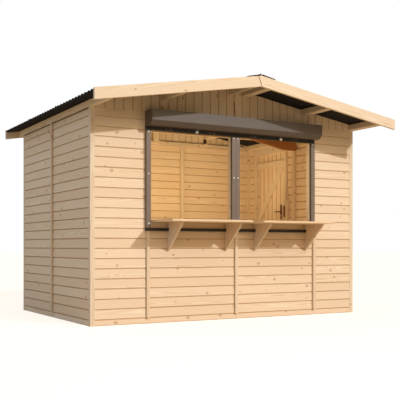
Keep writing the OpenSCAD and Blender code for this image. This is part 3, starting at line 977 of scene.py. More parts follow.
@dataclass
class Walls:
    """Boarded walls, their posts and rails, and the strips over their joints."""

    frame: CadFrame
    roof: RoofPlane
    rows: BoardRows
    gable_board: float = 0.0905
    gable_gap: float = 0.0032
    ridge_gap: float = 0.014
    gable_clear: float = 0.0015
    least_board: float = 0.015
    over_trim: float = 0.05
    # Size and place of the painted shade over the back rail: a dark line and a dark patch.
    shade_line_size: float = 0.007
    shade_patch_x: float = 0.80
    plate_size: tuple[float, float, float] = (0.04, 0.008, 0.064)
    shade_patch_lift: float = 0.012
    cleat_size: tuple[float, float, float] = (0.048, 0.014, 0.023)
    # Size and place of the dark strips that paint the shadow under the purlins.
    eaves_strip: tuple[float, float] = (0.007, 0.007)
    eaves_strip_out: float = 0.005
    eaves_strip_drop: float = 0.006

    def build(self) -> None:
        """Builds every piece of the walls."""
        for node in ("front_panel_left", "front_panel_right", "front_sill_left", "front_sill_right",
                     "back_panel_left", "back_panel_middle", "back_panel_right"):
            self.boarded(node, Axis.X)
        for node in ("left_wall_front", "left_wall_rear", "right_wall_front",
                     "right_wall_beside_door", "right_wall_over_door", "right_wall_rear"):
            self.boarded(node, Axis.Y)
        self.header()
        self.gable("front_gable")
        self.gable("back_gable")
        self.gable_foot()
        self.eaves_strips()
        self.window_posts()
        for node, grain in (("corner_posts", Axis.Z), ("wall_posts", Axis.Z), ("door_header", Axis.Y),
                            ("sill_rails", Axis.X), ("gable_batten", Axis.Z), ("door_sill", Axis.Y)):
            self.timbers(node, grain)
        self.door_posts()
        self.timbers("top_rails")
        self.cover_strips()

    def eaves(self, side: int) -> Plane:
        """Plane of the undersides of the purlins on one slope."""
        box = self.frame.box("left_wall_front")
        normal = Vector((side * math.sin(self.roof.pitch), 0, math.cos(self.roof.pitch)))
        inner = max(p.z for p in self.frame.points("left_wall_front"))
        return Vector((side * box.high.x * -1, 0, inner)), normal

    def boarded(self, node: str, grain: Axis) -> None:
        """Builds one stretch of boarded wall.

        Args:
            node: The CAD node that it stands for.
            grain: Which way its boards run.
        """
        box = self.frame.box(node)
        bench = Bench(node + "_boards")
        trims = [self.eaves(1 if box.low.x > 0 else -1)] if grain is Axis.Y else []
        self.rows.lay(bench, box, grain, trims)
        bench.finish(Slot.TIMBER, replaces=[node])

    def timbers(self, node: str, grain: Optional[Axis] = None) -> None:
        """Builds a node of plain timbers, one for each of its solids.

        Args:
            node: The CAD node that they stand for.
            grain: Which way their grain runs, or None for level timbers that run their own way.
        """
        bench = Bench(node + "_timber")
        for box in self.frame.solids(node):
            run = grain or (Axis.X if box.size.x > box.size.y else Axis.Y)
            outside = abs(box.middle.x) > self.frame.box("front_gable").high.x
            trims = [self.eaves(1 if box.middle.x > 0 else -1)] if outside else []
            bench.timber(box, run, FRAMING, trims=trims)
        bench.finish(Slot.TIMBER, replaces=[node])

    def header(self) -> None:
        """Builds the beam over the windows and the boards in front of it."""
        box = self.frame.box("front_header")
        boards = box.low.y + self.frame.box("front_sill_left").size.y
        bench = Bench("front_header_boards")
        self.rows.lay(bench, box.with_span(Axis.Y, box.low.y, boards), Axis.X)
        bench.timber(box.with_span(Axis.Y, boards, box.high.y), Axis.X, FRAMING)
        bench.finish(Slot.TIMBER, replaces=["front_header"])

    def window_posts(self) -> None:
        """Builds the posts of the windows, faced with a board beside each opening."""
        boards = self.frame.box("front_sill_left")
        bench = Bench("window_posts_timber")
        for box in self.frame.solids("window_posts"):
            bench.timber(box.with_span(Axis.Y, boards.high.y, box.high.y), Axis.Z, FRAMING)
            facing_board = box.with_span(Axis.Y, box.low.y, boards.high.y)
            bench.timber(facing_board.with_span(Axis.Z, boards.high.z, box.high.z), Axis.Z, FRAMING)
        bench.finish(Slot.TIMBER, replaces=["window_posts"])

    def door_posts(self) -> None:
        """Builds the posts of the door and the block beside the lock."""
        keep = self.frame.box("lock_keep")
        width = self.frame.box("sill_rails").size.z
        points = self.frame.points("door_posts")
        bench = Bench("door_posts_timber")
        for box in self.frame.solids("door_posts"):
            post = box.with_span(Axis.Y, box.high.y - width, box.high.y)
            bench.timber(post, Axis.Z, FRAMING)
            if box.low.y < keep.low.y:
                beside = [p.z for p in points if p.y < box.low.y + 1e-4]
                block = box.with_span(Axis.Y, box.low.y, box.high.y - width)
                bench.timber(block.with_span(Axis.Z, min(beside), max(beside)), Axis.Z, FRAMING)
        bench.finish(Slot.TIMBER, replaces=["door_posts"])

    def cover_strips(self) -> None:
        """Builds the strips that cover the joints of the walls."""
        bench = Bench("cover_strips_timber")
        for box in self.frame.solids("cover_strips"):
            bench.timber(box, Axis.Z, FRAMING, ROUNDED)
        bench.finish(Slot.TIMBER, replaces=["cover_strips"])

    def gable_foot(self) -> None:
        """Builds the dark strip over the rail of the back wall, which paints the shadow line there, and the
        small dark plate above it, which paints a shaded hollow.
        """
        rail = [b for b in self.frame.solids("top_rails") if b.size.x > b.size.y and b.middle.y > 0][0]
        inner = self.frame.box("back_gable").low.y
        bench = Bench("back_gable_foot")
        strip = Box(Vector((rail.low.x, inner - self.shade_line_size, rail.high.z)),
                    Vector((rail.high.x, inner, rail.high.z + self.shade_line_size)))
        bench.block(strip, PAINTED_SHADE_BROWN, 0.001, 1)
        width, depth, height = self.plate_size
        foot = rail.high.z + self.shade_patch_lift
        plate = Box(Vector((self.shade_patch_x, inner - depth, foot)),
                    Vector((self.shade_patch_x + width, inner, foot + height)))
        bench.block(plate, PAINTED_SHADE_BROWN, 0.0015, 1)
        bench.finish(Slot.DARK)
        cleat = Bench("back_gable_cleat")
        size = Vector(self.cleat_size)
        left = self.shade_patch_x - (size.x - width) / 2
        low = Vector((left, rail.low.y - size.y, rail.high.z - self.shade_patch_lift))
        cleat.timber(Box(low, low + size), Axis.X, FRAMING)
        cleat.finish(Slot.TIMBER)

    def eaves_strips(self) -> None:
        """Builds the dark strips between the side walls and the purlins above them, which paint the shadow
        under the purlins.
        """
        bench = Bench("eaves_strips")
        thick, height = self.eaves_strip
        for side, name in ((-1, "left"), (1, "right")):
            front, rear = name + "_wall_front", name + "_wall_rear"
            outer = side * max(abs(p.x) for p in self.frame.points(front))
            top = max(p.z for p in self.frame.points(front) if abs(p.x - outer) < 1e-4)
            face = outer + side * self.eaves_strip_out
            near, far = sorted((face - side * thick, face))
            head = top - self.eaves_strip_drop
            strip = Box(Vector((near, self.frame.box(front).low.y, head - height)),
                        Vector((far, self.frame.box(rear).high.y, head)))
            bench.block(strip, PAINTED_SHADOW_STRIP, 0.0012, 1)
        bench.finish(Slot.DARK)

    def gap_at(self, joint: int) -> float:
        """Gives the gap at a joint of the gable boards, which is widest under the ridge."""
        return self.gable_gap if joint else self.ridge_gap

    def gable(self, node: str) -> None:
        """Builds the upright boards between a wall and the roof.

        Args:
            node: The CAD node that they stand for.
        """
        box = self.frame.box(node)
        bench = Bench(node + "_boards")
        trims = []
        for side in (-1, 1):
            normal = Vector((side * math.sin(self.roof.pitch), 0, math.cos(self.roof.pitch)))
            trims.append((Vector((0, 0, self.roof.ridge - self.gable_clear)), normal))
        count = math.ceil(box.high.x / self.gable_board)
        for place in range(-count, count):
            left = max(place * self.gable_board + self.gap_at(place) / 2, box.low.x)
            right = min((place + 1) * self.gable_board - self.gap_at(place + 1) / 2, box.high.x)
            if right - left < self.least_board:
                continue
            foot, top = box.low.z + self.rows.fit, box.high.z + self.over_trim
            board = box.with_span(Axis.X, left, right).with_span(Axis.Z, foot, top)
            stand = bench.random.uniform(0, self.rows.stand)
            board = board.with_span(Axis.Y, board.low.y + stand, board.high.y - stand)
            bench.timber(board, Axis.Z, BOARDS, BOARD_JOINT, trims=trims)
        bench.finish(Slot.TIMBER, replaces=[node])


@dataclass
class Floor:
    """Floor boards on bearers."""

    frame: CadFrame
    board: float = 0.0965
    gap: float = 0.002

    def build(self) -> None:
        """Builds the bearers and the boards across them."""
        bench = Bench("floor_bearers_timber")
        for box in self.frame.solids("floor_bearers"):
            bench.timber(box, Axis.Y, SAWN)
        bench.finish(Slot.TIMBER, replaces=["floor_bearers"])
        bench = Bench("floor_boards")
        deck = self.frame.box("floor_deck")
        count = round(deck.size.y / self.board)
        pitch = deck.size.y / count
        for n in range(count):
            low = deck.low.y + n * pitch + self.gap / 2
            bench.timber(deck.with_span(Axis.Y, low, low + pitch - self.gap), Axis.X, BOARDS)
        bench.finish(Slot.TIMBER, replaces=["floor_deck"])


# ------------------------------------------------------------------------------ roof


@dataclass
class Roof:
    """Purlins, the middle truss, corrugated sheets, the ridge cap and the bargeboards."""

    frame: CadFrame
    roof: RoofPlane
    waves: float = 34.75
    wave_height: float = 0.026
    sheet_thickness: float = 0.003
    trimmed: float = 0.001
    sheets: int = 3
    steps_per_wave: int = 12
    cap_lengths: int = 3
    seam: float = 0.037
    seam_gap: float = 0.009
    fixing_step: int = 3

    def build(self) -> None:
        """Builds every piece of the roof."""
        for node, side in (("purlins_left", -1), ("purlins_right", 1)):
            bench = Bench(node + "_timber")
            for box in self.frame.solids(node, self.roof.frame(side)):
                bench.timber(box, Axis.Y, SAWN, turned=self.roof.frame(side))
            bench.finish(Slot.RAFTER, replaces=[node])
        for node, side in (("truss_rafter_left", -1), ("truss_rafter_right", 1)):
            self.rafter(node, side)
        bench = Bench("truss_tie_timber")
        bench.timber(self.frame.box("truss_tie"), Axis.X, SAWN)
        bench.finish(Slot.RAFTER, replaces=["truss_tie"])
        for node in ("bargeboard_front_left", "bargeboard_front_right",
                     "bargeboard_back_left", "bargeboard_back_right"):
            self.bargeboard(node)
        self.sheeting("roof_sheet_left", -1)
        self.sheeting("roof_sheet_right", 1)
        self.ridge_cap()

    def rafter(self, node: str, side: int) -> None:
        """Builds a rafter with its foot cut level.

        Args:
            node: The CAD node that it stands for.
            side: 1 on the right, -1 on the left.
        """
        box = self.frame.box(node)
        points = self.frame.points(node)
        end = max(abs(p.x) for p in points)
        at_ridge = [p.z for p in points if abs(p.x) < 1e-4]
        foot_x = min(abs(p.x) for p in points if p.z < box.low.z + 1e-4)
        turned = self.roof.frame(side)
        drop = (self.roof.ridge - max(at_ridge)) * math.cos(self.roof.pitch)
        y_span = sorted((side * box.low.y, side * box.high.y))
        blank = Box(Vector((-0.1, y_span[0], -drop - 0.3)), Vector((end + 0.15, y_span[1], -drop)))
        fall = math.atan2(min(at_ridge) - box.low.z, foot_x)
        trims = [
            (Vector((0, 0, 0)), Vector((-side, 0, 0))),
            (Vector((side * end, 0, 0)), Vector((side, 0, 0))),
            (Vector((0, 0, box.low.z)), Vector((0, 0, -1))),
            (Vector((0, 0, min(at_ridge))), Vector((-side * math.sin(fall), 0, -math.cos(fall)))),
        ]
        bench = Bench(node + "_timber")
        # The rafters' darker, redder wood is painted shade.
        bench.timber(blank, Axis.X, SHADE_DARKENED_TRUSS_WOOD, turned=turned, trims=trims)
        bench.finish(Slot.RAFTER, replaces=[node])

    def bargeboard(self, node: str) -> None:
        """Builds a bargeboard, cut upright at the eaves and to a slanting seam at the ridge.

        Args:
            node: The CAD node that it stands for.
        """
        side = -1 if node.endswith("left") else 1
        turned = self.roof.frame(side)
        box = self.frame.solids(node, turned)[0]
        end = max(abs(p.x) for p in self.frame.points(node))
        square = Vector((side * math.sin(self.roof.pitch), 0, math.cos(self.roof.pitch)))
        opposite = Vector((-square.x, 0, square.z))
        top = Vector((0, 0, self.roof.ridge)) + Vector((0, 0, box.high.z / square.z))
        foot = Vector((0, 0, self.roof.ridge + box.low.z / square.z))
        head = Vector((-self.seam, 0, top.z - self.seam * math.tan(self.roof.pitch)))
        lean = (head - foot).normalized()
        across = Vector((-side * lean.z, 0, side * lean.x))
        blank = box.with_span(Axis.X, -0.15, box.high.x + 0.05)
        trims = [
            (Vector((side * end, 0, 0)), Vector((side, 0, 0))),
            (foot - across * self.seam_gap / 2, across),
            (top, opposite),
        ]
        bench = Bench(node + "_timber")
        bench.timber(blank, Axis.X, FRAMING, ROUNDED, turned=turned, trims=trims)
        bench.finish(Slot.TIMBER, replaces=[node])

    def wave(self, y: float) -> float:
        """Height of the sheet's underside over its valleys, at a place across the waves."""
        box = self.frame.box("roof_sheet_right")
        turns = (y - box.low.y) / box.size.y * self.waves
        return self.wave_height / 2 * (1 - math.cos(2 * math.pi * turns))

    def sheeting(self, node: str, side: int) -> None:
        """Builds the overlapping corrugated sheets of one slope and their fixings.

        Args:
            node: The CAD node that they stand for.
            side: 1 for the right slope, -1 for the left one.
        """
        turned = self.roof.frame(side)
        box = self.frame.box(node)
        run = self.frame.solids(node, turned)[0].high.x - self.trimmed
        wave = box.size.y / self.waves
        per_sheet = self.waves / self.sheets
        bench = Bench(node + "_sheets")
        for n in range(self.sheets):
            start = box.low.y + round(n * per_sheet) * wave
            last = n == self.sheets - 1
            end = box.high.y if last else box.low.y + (round((n + 1) * per_sheet) + 1) * wave
            part = bmesh.new()
            columns = round((end - start) / wave * self.steps_per_wave)
            bmesh.ops.create_grid(part, x_segments=6, y_segments=columns, size=0.5)
            for vert in part.verts:
                y = start + (vert.co.y + 0.5) * (end - start)
                lap = max(0.0, 1 - (y - start) / (1.5 * wave)) if n else 0.0
                lift = self.sheet_thickness * min(1.0, 1.6 * lap)
                vert.co = Vector(((vert.co.x + 0.5) * run, side * y, self.wave(y) + lift))
            faces = bmesh.ops.extrude_face_region(part, geom=part.faces[:])["geom"]
            bmesh.ops.translate(part, vec=(0, 0, self.sheet_thickness), verts=corners(faces))
            bmesh.ops.recalc_face_normals(part, faces=part.faces)
            bmesh.ops.transform(part, matrix=turned, verts=part.verts)
            bench.join(part, ROOFING, smooth=True)
        self.fixings(bench, side, turned)
        bench.finish(Slot.ROOFING, replaces=[node])

    def fixings(self, bench: Bench, side: int, turned: Matrix) -> None:
        """Adds the capped nails that hold the sheets to the purlins.

        Args:
            bench: The bench of the sheets.
            side: The slope.
            turned: The frame of the slope.
        """
        box = self.frame.box("roof_sheet_right")
        wave = box.size.y / self.waves
        purlins = self.frame.solids("purlins_right" if side > 0 else "purlins_left", turned)
        for purlin in purlins:
            for n in range(1, int(self.waves), self.fixing_step):
                y = box.low.y + (n + 0.5) * wave
                crest = self.wave_height + self.sheet_thickness - 0.0005
                place = turned @ Matrix.Translation((purlin.middle.x, side * y, crest))
                bench.round_part(place, 0.010, 0.0035, ROOFING, 0.006, segments=10)

    def ridge_cap(self) -> None:
        """Builds the folded cap over the ridge, in lengths that overlap."""
        box = self.frame.box("ridge_cap")
        points = self.frame.points("ridge_cap")
        wing = box.high.x
        wing_z = min(p.z for p in points)
        roll = 0.009
        stopper_depth = 0.003
        fold_z = box.high.z - roll
        bench = Bench("ridge_cap_lengths")
        lip = 0.006
        length = box.size.y / self.cap_lengths
        for n in range(self.cap_lengths):
            start = box.low.y + n * length
            end = min(start + length + 0.08, box.high.y)
            lift = 0.0012 * (n % 2)
            outline = [(-wing, wing_z), (-wing + 0.002, wing_z + lip), (0, fold_z),
                       (wing - 0.002, wing_z + lip), (wing, wing_z)]
            part = bmesh.new()
            verts = [part.verts.new((x, start, z + lift * (abs(x) < wing / 2))) for x, z in outline]
            edges = [part.edges.new(pair) for pair in zip(verts, verts[1:])]
            made = bmesh.ops.extrude_edge_only(part, edges=edges)["geom"]
            bmesh.ops.translate(part, vec=(0, end - start, 0), verts=corners(made))
            bmesh.ops.recalc_face_normals(part, faces=part.faces)
            if sum(f.normal.z for f in part.faces) < 0:
                bmesh.ops.reverse_faces(part, faces=part.faces)
            made = bmesh.ops.extrude_face_region(part, geom=part.faces[:])["geom"]
            bmesh.ops.translate(part, vec=(0, 0, 0.0018), verts=corners(made))
            bmesh.ops.recalc_face_normals(part, faces=part.faces)
            bench.join(part, CAPPING)
            start += 0.0 if n else stopper_depth
            part = bmesh.new()
            bmesh.ops.create_cone(part, cap_ends=True, segments=20, radius1=roll, radius2=roll,
                                  depth=end - start)
            place = Matrix.Translation((0, (start + end) / 2, fold_z - lift / 3))
            bmesh.ops.transform(part, matrix=place @ Matrix.Rotation(math.pi / 2, 4, "X"),
                                verts=part.verts)
            bench.join(part, CAPPING, smooth=True)
        stopper = Vector((0, box.low.y + stopper_depth + 0.0001, fold_z))
        bench.round_part(facing(stopper, FORWARD), roll, stopper_depth, WHITE_PLASTIC, segments=20)
        bench.finish(Slot.ROOFING, replaces=["ridge_cap"])


# --------------------------------------------------------------------------- shutter


@dataclass
class Shutter:
    """Shutter box, closing bars, guide rails and foot bar of the serving windows."""

    frame: CadFrame
    chamfer: float = 0.042
    edge: float = 0.004
    cap: float = 0.003
    wall: float = 0.0022
    stops: tuple[float, ...] = (-0.44, 0.53)
    catches: tuple[float, ...] = (-0.74, -0.27, 0.20, 0.70)
    rivet: float = 0.0078
    slot: float = 0.011

    def build(self) -> None:
        """Builds every piece of the shutter."""
        self.box()
        self.closing_bars()
        self.rail("guide_rail_left", (1,))
        self.rail("guide_rail_centre", (-1, 1))
        self.rail("guide_rail_right", (-1,))
        self.foot_bar()

    def housing(self, low: float, high: float, shrink: float) -> bmesh.types.BMesh:
        """Shapes a length of the box with its lower front corner cut off.

        Args:
            low: Left end.
            high: Right end.
            shrink: How far it stays inside the outline of the box.

        Returns:
            The shaped part.
        """
        box = self.frame.box("shutter_box")
        part = bmesh.new()
        bmesh.ops.create_cube(part, size=1.0)
        size = box.size - Vector((0, 2 * shrink, 2 * shrink))
        size.x = high - low
        bmesh.ops.scale(part, vec=size, verts=part.verts)
        middle = box.middle
        middle.x = (low + high) / 2
        bmesh.ops.translate(part, vec=middle, verts=part.verts)
        bench_cut = Vector((0, -1, -1)).normalized()
        corner = Vector((0, box.low.y + shrink, box.low.z + self.chamfer + shrink))
        Bench.trim(part, (corner, bench_cut))
        top_front = [e for e in part.edges
                     if all(v.co.y < box.middle.y and v.co.z > box.middle.z for v in e.verts)
                     and abs(e.verts[0].co.x - e.verts[1].co.x) > 1e-6]
        lower = [e for e in part.edges
                 if all(v.co.z < box.middle.z and v.co.y < box.high.y - shrink - 1e-4 for v in e.verts)
                 and abs(e.verts[0].co.x - e.verts[1].co.x) > 1e-6]
        round_edges(part, top_front + lower, self.edge, 3)
        return part

    def box(self) -> None:
        """Builds the box: a folded body between two end caps, with its screws."""
        box = self.frame.box("shutter_box")
        bench = Bench("shutter_box_case")
        seam = 0.0006
        bench.join(self.housing(box.low.x + self.cap + seam, box.high.x - self.cap - seam, seam),
                   BOX_COAT)
        for low in (box.low.x, box.high.x - self.cap):
            bench.join(self.housing(low, low + self.cap, 0.0), BOX_COAT)
        for side in (-1, 1):
            end = box.low.x if side < 0 else box.high.x
            for y, z in ((0.35, 0.72), (0.35, 0.3), (0.8, 0.72)):
                point = Vector((end - side * 0.0022, box.low.y + box.size.y * y, box.low.z + box.size.z * z))
                bench.round_part(facing(point, Vector((side, 0, 0))), 0.0045, 0.0021, BOX_COAT,
                                 0.003, segments=12)
        bench.finish(Slot.BOX, replaces=["shutter_box"])

    def closing_bars(self) -> None:
        """Builds the closing bars under the box, with their joints, catches and stops."""
        box = self.frame.box("shutter_lintel")
        bench = Bench("closing_bars")
        middle = self.frame.box("guide_rail_centre").middle.x
        for low, high in ((box.low.x, middle - 0.002), (middle + 0.002, box.high.x)):
            upper = Box(Vector((low, box.low.y + 0.004, box.low.z + 0.012)),
                        Vector((high, box.high.y, box.high.z)))
            bench.block(upper, DARK_COAT, 0.0015)
            lower = Box(Vector((low + 0.002, box.low.y, box.low.z)),
                        Vector((high - 0.002, box.high.y, box.low.z + 0.013)))
            bench.block(lower, DARK_COAT, 0.002)
            for x in (x for x in self.catches if low < x < high):
                catch = Box(Vector((x - 0.032, box.low.y - 0.004, box.low.z + 0.006)),
                            Vector((x + 0.032, box.low.y + 0.006, box.high.z - 0.004)))
                bench.block(catch, BOX_COAT, 0.001)
                slot = Box(Vector((x - 0.012, box.low.y - 0.006, box.low.z + 0.004)),
                           Vector((x + 0.012, box.low.y - 0.003, box.high.z - 0.002)))
                bench.block(slot, DARK_COAT, 0.0008)
        bench.finish(Slot.DARK, replaces=["shutter_lintel"])
        stops = Bench("closing_bar_stops")
        for x in self.stops:
            point = Vector((x, box.low.y + 0.003, box.middle.z - 0.002))
            stops.round_part(facing(point, FORWARD), 0.0145, 0.017, WHITE_PLASTIC,
                             0.0135, segments=20, bevel=0.0014)
        stops.finish(Slot.DARK)

    def rail(self, node: str, open_sides: tuple[int, ...]) -> None:
        """Builds a guide rail with a brushed slot in each side that faces a window.

        Args:
            node: The CAD node that it stands for.
            open_sides: The sides with a slot, -1 on the left and 1 on the right.
        """
        box = self.frame.box(node)
        bench = Bench(node + "_profile")
        halves = [box]
        if len(open_sides) == 2:
            middle = box.middle.x
            halves = [box.with_span(Axis.X, box.low.x, middle - 0.0006),
                      box.with_span(Axis.X, middle + 0.0006, box.high.x)]
        for half, side in zip(halves, open_sides):
            self.profile(bench, half, side)
        bench.finish(Slot.RAIL, replaces=[node])
        rivets = Bench(node + "_plugs")
        heights = [box.high.z - 0.014, box.low.z + box.size.z * 0.555, box.low.z + 0.04]
        for z in heights[:1 if open_sides == (-1,) else 3]:
            for half in halves:
                point = Vector((half.middle.x, half.low.y + 0.0004, z))
                rivets.round_part(facing(point, FORWARD), self.rivet, 0.0022, WHITE_PLASTIC,
                                  self.rivet * 0.7, segments=16)
        rivets.finish(Slot.RAIL)

    def profile(self, bench: Bench, box: Box, side: int) -> None:
        """Shapes one rail profile and its two brush strips.

        Args:
            bench: The bench of the rail.
            box: The space of the profile.
            side: Which of its sides has the slot.
        """
        part = filled(box)
        upright = [e for e in part.edges if abs(e.verts[0].co.z - e.verts[1].co.z) > box.size.z / 2]
        front = [e for e in upright if e.verts[0].co.y < box.middle.y]
        round_edges(part, front, 0.0022, 3)
        part.normal_update()
        slot_low, slot_high = box.middle.y - self.slot / 2, box.middle.y + self.slot / 2
        for y in (slot_low, slot_high):
            faces = [f for f in part.faces if f.normal.x * side > 0.99]
            geometry = list(dict.fromkeys(g for f in faces for g in (f, *f.edges, *f.verts)))
            bmesh.ops.bisect_plane(part, geom=geometry, plane_co=(0, y, 0), plane_no=(0, 1, 0), dist=1e-6)
            part.normal_update()
        face = next(f for f in part.faces
                    if f.normal.x * side > 0.99 and slot_low < f.calc_center_median().y < slot_high)
        made = bmesh.ops.extrude_face_region(part, geom=[face])["geom"]
        bmesh.ops.translate(part, vec=(-side * 0.024, 0, 0), verts=corners(made))
        if face.is_valid:
            bmesh.ops.delete(part, geom=[face], context="FACES_ONLY")
        bmesh.ops.recalc_face_normals(part, faces=part.faces)
        bench.join(part, RAIL_COAT)
        edge_x = box.high.x if side > 0 else box.low.x
        for y in (slot_low, slot_high - 0.0035):
            x0, x1 = sorted((edge_x - side * 0.0015, edge_x - side * 0.0075))
            strip = Box(Vector((x0, y, box.low.z + 0.002)), Vector((x1, y + 0.0035, box.high.z - 0.002)))
            bench.block(strip, BRUSH, 0.0)

    def foot_bar(self) -> None:
        """Builds the bar below the rails, with a groove along its front."""
        box = self.frame.box("shutter_foot_bar")
        bench = Bench("foot_bar_profile")
        third = box.size.z / 3
        bench.block(box.with_span(Axis.Y, box.low.y + 0.003, box.high.y), DARK_COAT, 0.001)
        for foot, top in ((box.low.z, box.low.z + third), (box.high.z - third, box.high.z)):
            lip = box.with_span(Axis.Z, foot, top).with_span(Axis.Y, box.low.y, box.low.y + 0.0045)
            bench.block(lip, DARK_COAT, 0.0012)
        bench.finish(Slot.DARK, replaces=["shutter_foot_bar"])


# --------------------------------------------------------------------------- shelves


@dataclass
class Shelves:
    """Serving shelves of glued boards on triangular brackets with angle plates."""

    frame: CadFrame
    boards: int = 5
    joint: Edge = Edge(0.0006, 0.0006, 1)
    angle: float = 0.034
    plate: float = 0.0018

    def build(self) -> None:
        """Builds both shelves with their brackets."""
        for side in ("left", "right"):
            self.shelf("shelf_" + side)
            self.brackets("shelf_brackets_" + side, "shelf_" + side)

    def shelf(self, node: str) -> None:
        """Builds a shelf of boards glued edge to edge, with a rounded nose.

        Args:
            node: The CAD node that it stands for.
        """
        box = self.frame.box(node)
        bench = Bench(node + "_boards")
        width = box.size.y / self.boards
        for n in range(self.boards):
            low = box.low.y + n * width
            edge = ROUNDED if n == 0 else self.joint
            bench.timber(box.with_span(Axis.Y, low, low + width), Axis.X, SHELF_WOOD, edge)
        bench.finish(Slot.TIMBER, replaces=[node])

    def brackets(self, node: str, shelf: str) -> None:
        """Builds the brackets of one shelf and the angle plates under it.

        Args:
            node: The CAD node that they stand for.
            shelf: Not used.
        """
        bench = Bench(node + "_timber")
        plates = Bench(node + "_plates")
        bar = self.frame.box("shutter_foot_bar")
        for box in self.frame.solids(node):
            tip = 0.014
            slant = Vector((0, -(box.size.z - tip), -(box.size.y - tip))).normalized()
            trims = [(Vector((0, box.low.y, box.high.z - tip)), slant)]
            part = self.blank(bench, box, trims[0])
            self.notch(part, bar)
            bench.join(part, FRAMING)
            self.angle_plate(plates, box)
        bench.finish(Slot.TIMBER, replaces=[node])
        plates.finish(Slot.RAIL)

    def blank(self, bench: Bench, box: Box, plane: Plane) -> bmesh.types.BMesh:
        """Shapes a bracket as a triangle with its grain upright.

        Args:
            bench: The bench of the brackets.
            box: The space of the bracket.
            plane: The slanting cut.

        Returns:
            The bracket without its notch.
        """
        part = bmesh.new()
        grain, tone = bench.layers(part)
        bmesh.ops.create_cube(part, size=1.0)
        bmesh.ops.scale(part, vec=(box.size.z, box.size.y, box.size.x), verts=part.verts)
        bench.mark_grain(part, grain, tone)
        turn = Matrix(((0, 0, 1), (0, -1, 0), (1, 0, 0))).to_4x4()
        bmesh.ops.transform(part, matrix=Matrix.Translation(box.middle) @ turn, verts=part.verts)
        Bench.trim(part, plane)
        bmesh.ops.recalc_face_normals(part, faces=part.faces)
        rims = [e for e in part.edges if abs(e.verts[0].co.x - e.verts[1].co.x) < 1e-6]
        round_edges(part, rims, 0.0012, 2)
        return part

    def notch(self, part: bmesh.types.BMesh, bar: Box) -> None:
        """Cuts the notch for the foot bar out of a bracket.

        Args:
            part: The bracket.
            bar: The foot bar that passes through the notch.
        """
        gap = 0.001
        low = Vector((bar.low.x, bar.low.y - gap, bar.low.z - gap))
        high = Vector((bar.high.x, bar.high.y + gap, bar.high.z + gap))
        for point, normal in ((low, (0, 0, -1)), (high, (0, 0, 1)), (low, (0, -1, 0))):
            geometry = part.verts[:] + part.edges[:] + part.faces[:]
            bmesh.ops.bisect_plane(part, geom=geometry, plane_co=point, plane_no=normal, dist=1e-6)
        inside = [f for f in part.faces
                  if low.z < f.calc_center_median().z < high.z and f.calc_center_median().y > low.y]
        bmesh.ops.delete(part, geom=inside, context="FACES")
        rims = [e for e in part.edges if e.is_boundary]
        for edge in rims:
            mates = [other for other in rims if other is not edge and self._across(edge, other)]
            if mates and edge.is_valid and mates[0].is_valid and edge.is_boundary and mates[0].is_boundary:
                corners = {*edge.verts, *mates[0].verts}
                if len(corners) == 4:
                    bmesh.ops.contextual_create(part, geom=[edge, mates[0]])
        bmesh.ops.recalc_face_normals(part, faces=part.faces)

    @staticmethod
    def _across(edge: bmesh.types.BMEdge, other: bmesh.types.BMEdge) -> bool:
        """Tells whether two edges lie face to face on the two sides of a bracket."""
        if not (edge.is_valid and other.is_valid):
            return False
        first = (edge.verts[0].co + edge.verts[1].co) / 2
        second = (other.verts[0].co + other.verts[1].co) / 2
        flat = Vector((0, first.y - second.y, first.z - second.z))
        return flat.length < 1e-5 and abs(first.x - second.x) > 1e-4

    def angle_plate(self, bench: Bench, box: Box) -> None:
        """Adds the angle plate between a bracket and its shelf.

        Args:
            bench: The bench of the plates.
            box: The space of the bracket.
        """
        x = box.high.x
        for y in (box.low.y + 0.05, box.high.y - 0.075):
            far = y + 0.018
            upper = Box(Vector((x, y, box.high.z - self.plate)), Vector((x + self.angle, far, box.high.z)))
            side = Box(Vector((x, y, box.high.z - self.angle)), Vector((x + self.plate, far, box.high.z)))
            bench.block(upper, ZINC, 0.0004, 1)
            bench.block(side, ZINC, 0.0004, 1)
            middle = Vector((x + self.plate * 0.8, y + 0.009, box.high.z - self.angle * 0.65))
            bench.round_part(facing(middle, RIGHTWARD), 0.0035, 0.0014, ZINC, 0.002, segments=10)


# ------------------------------------------------------------------------------ door


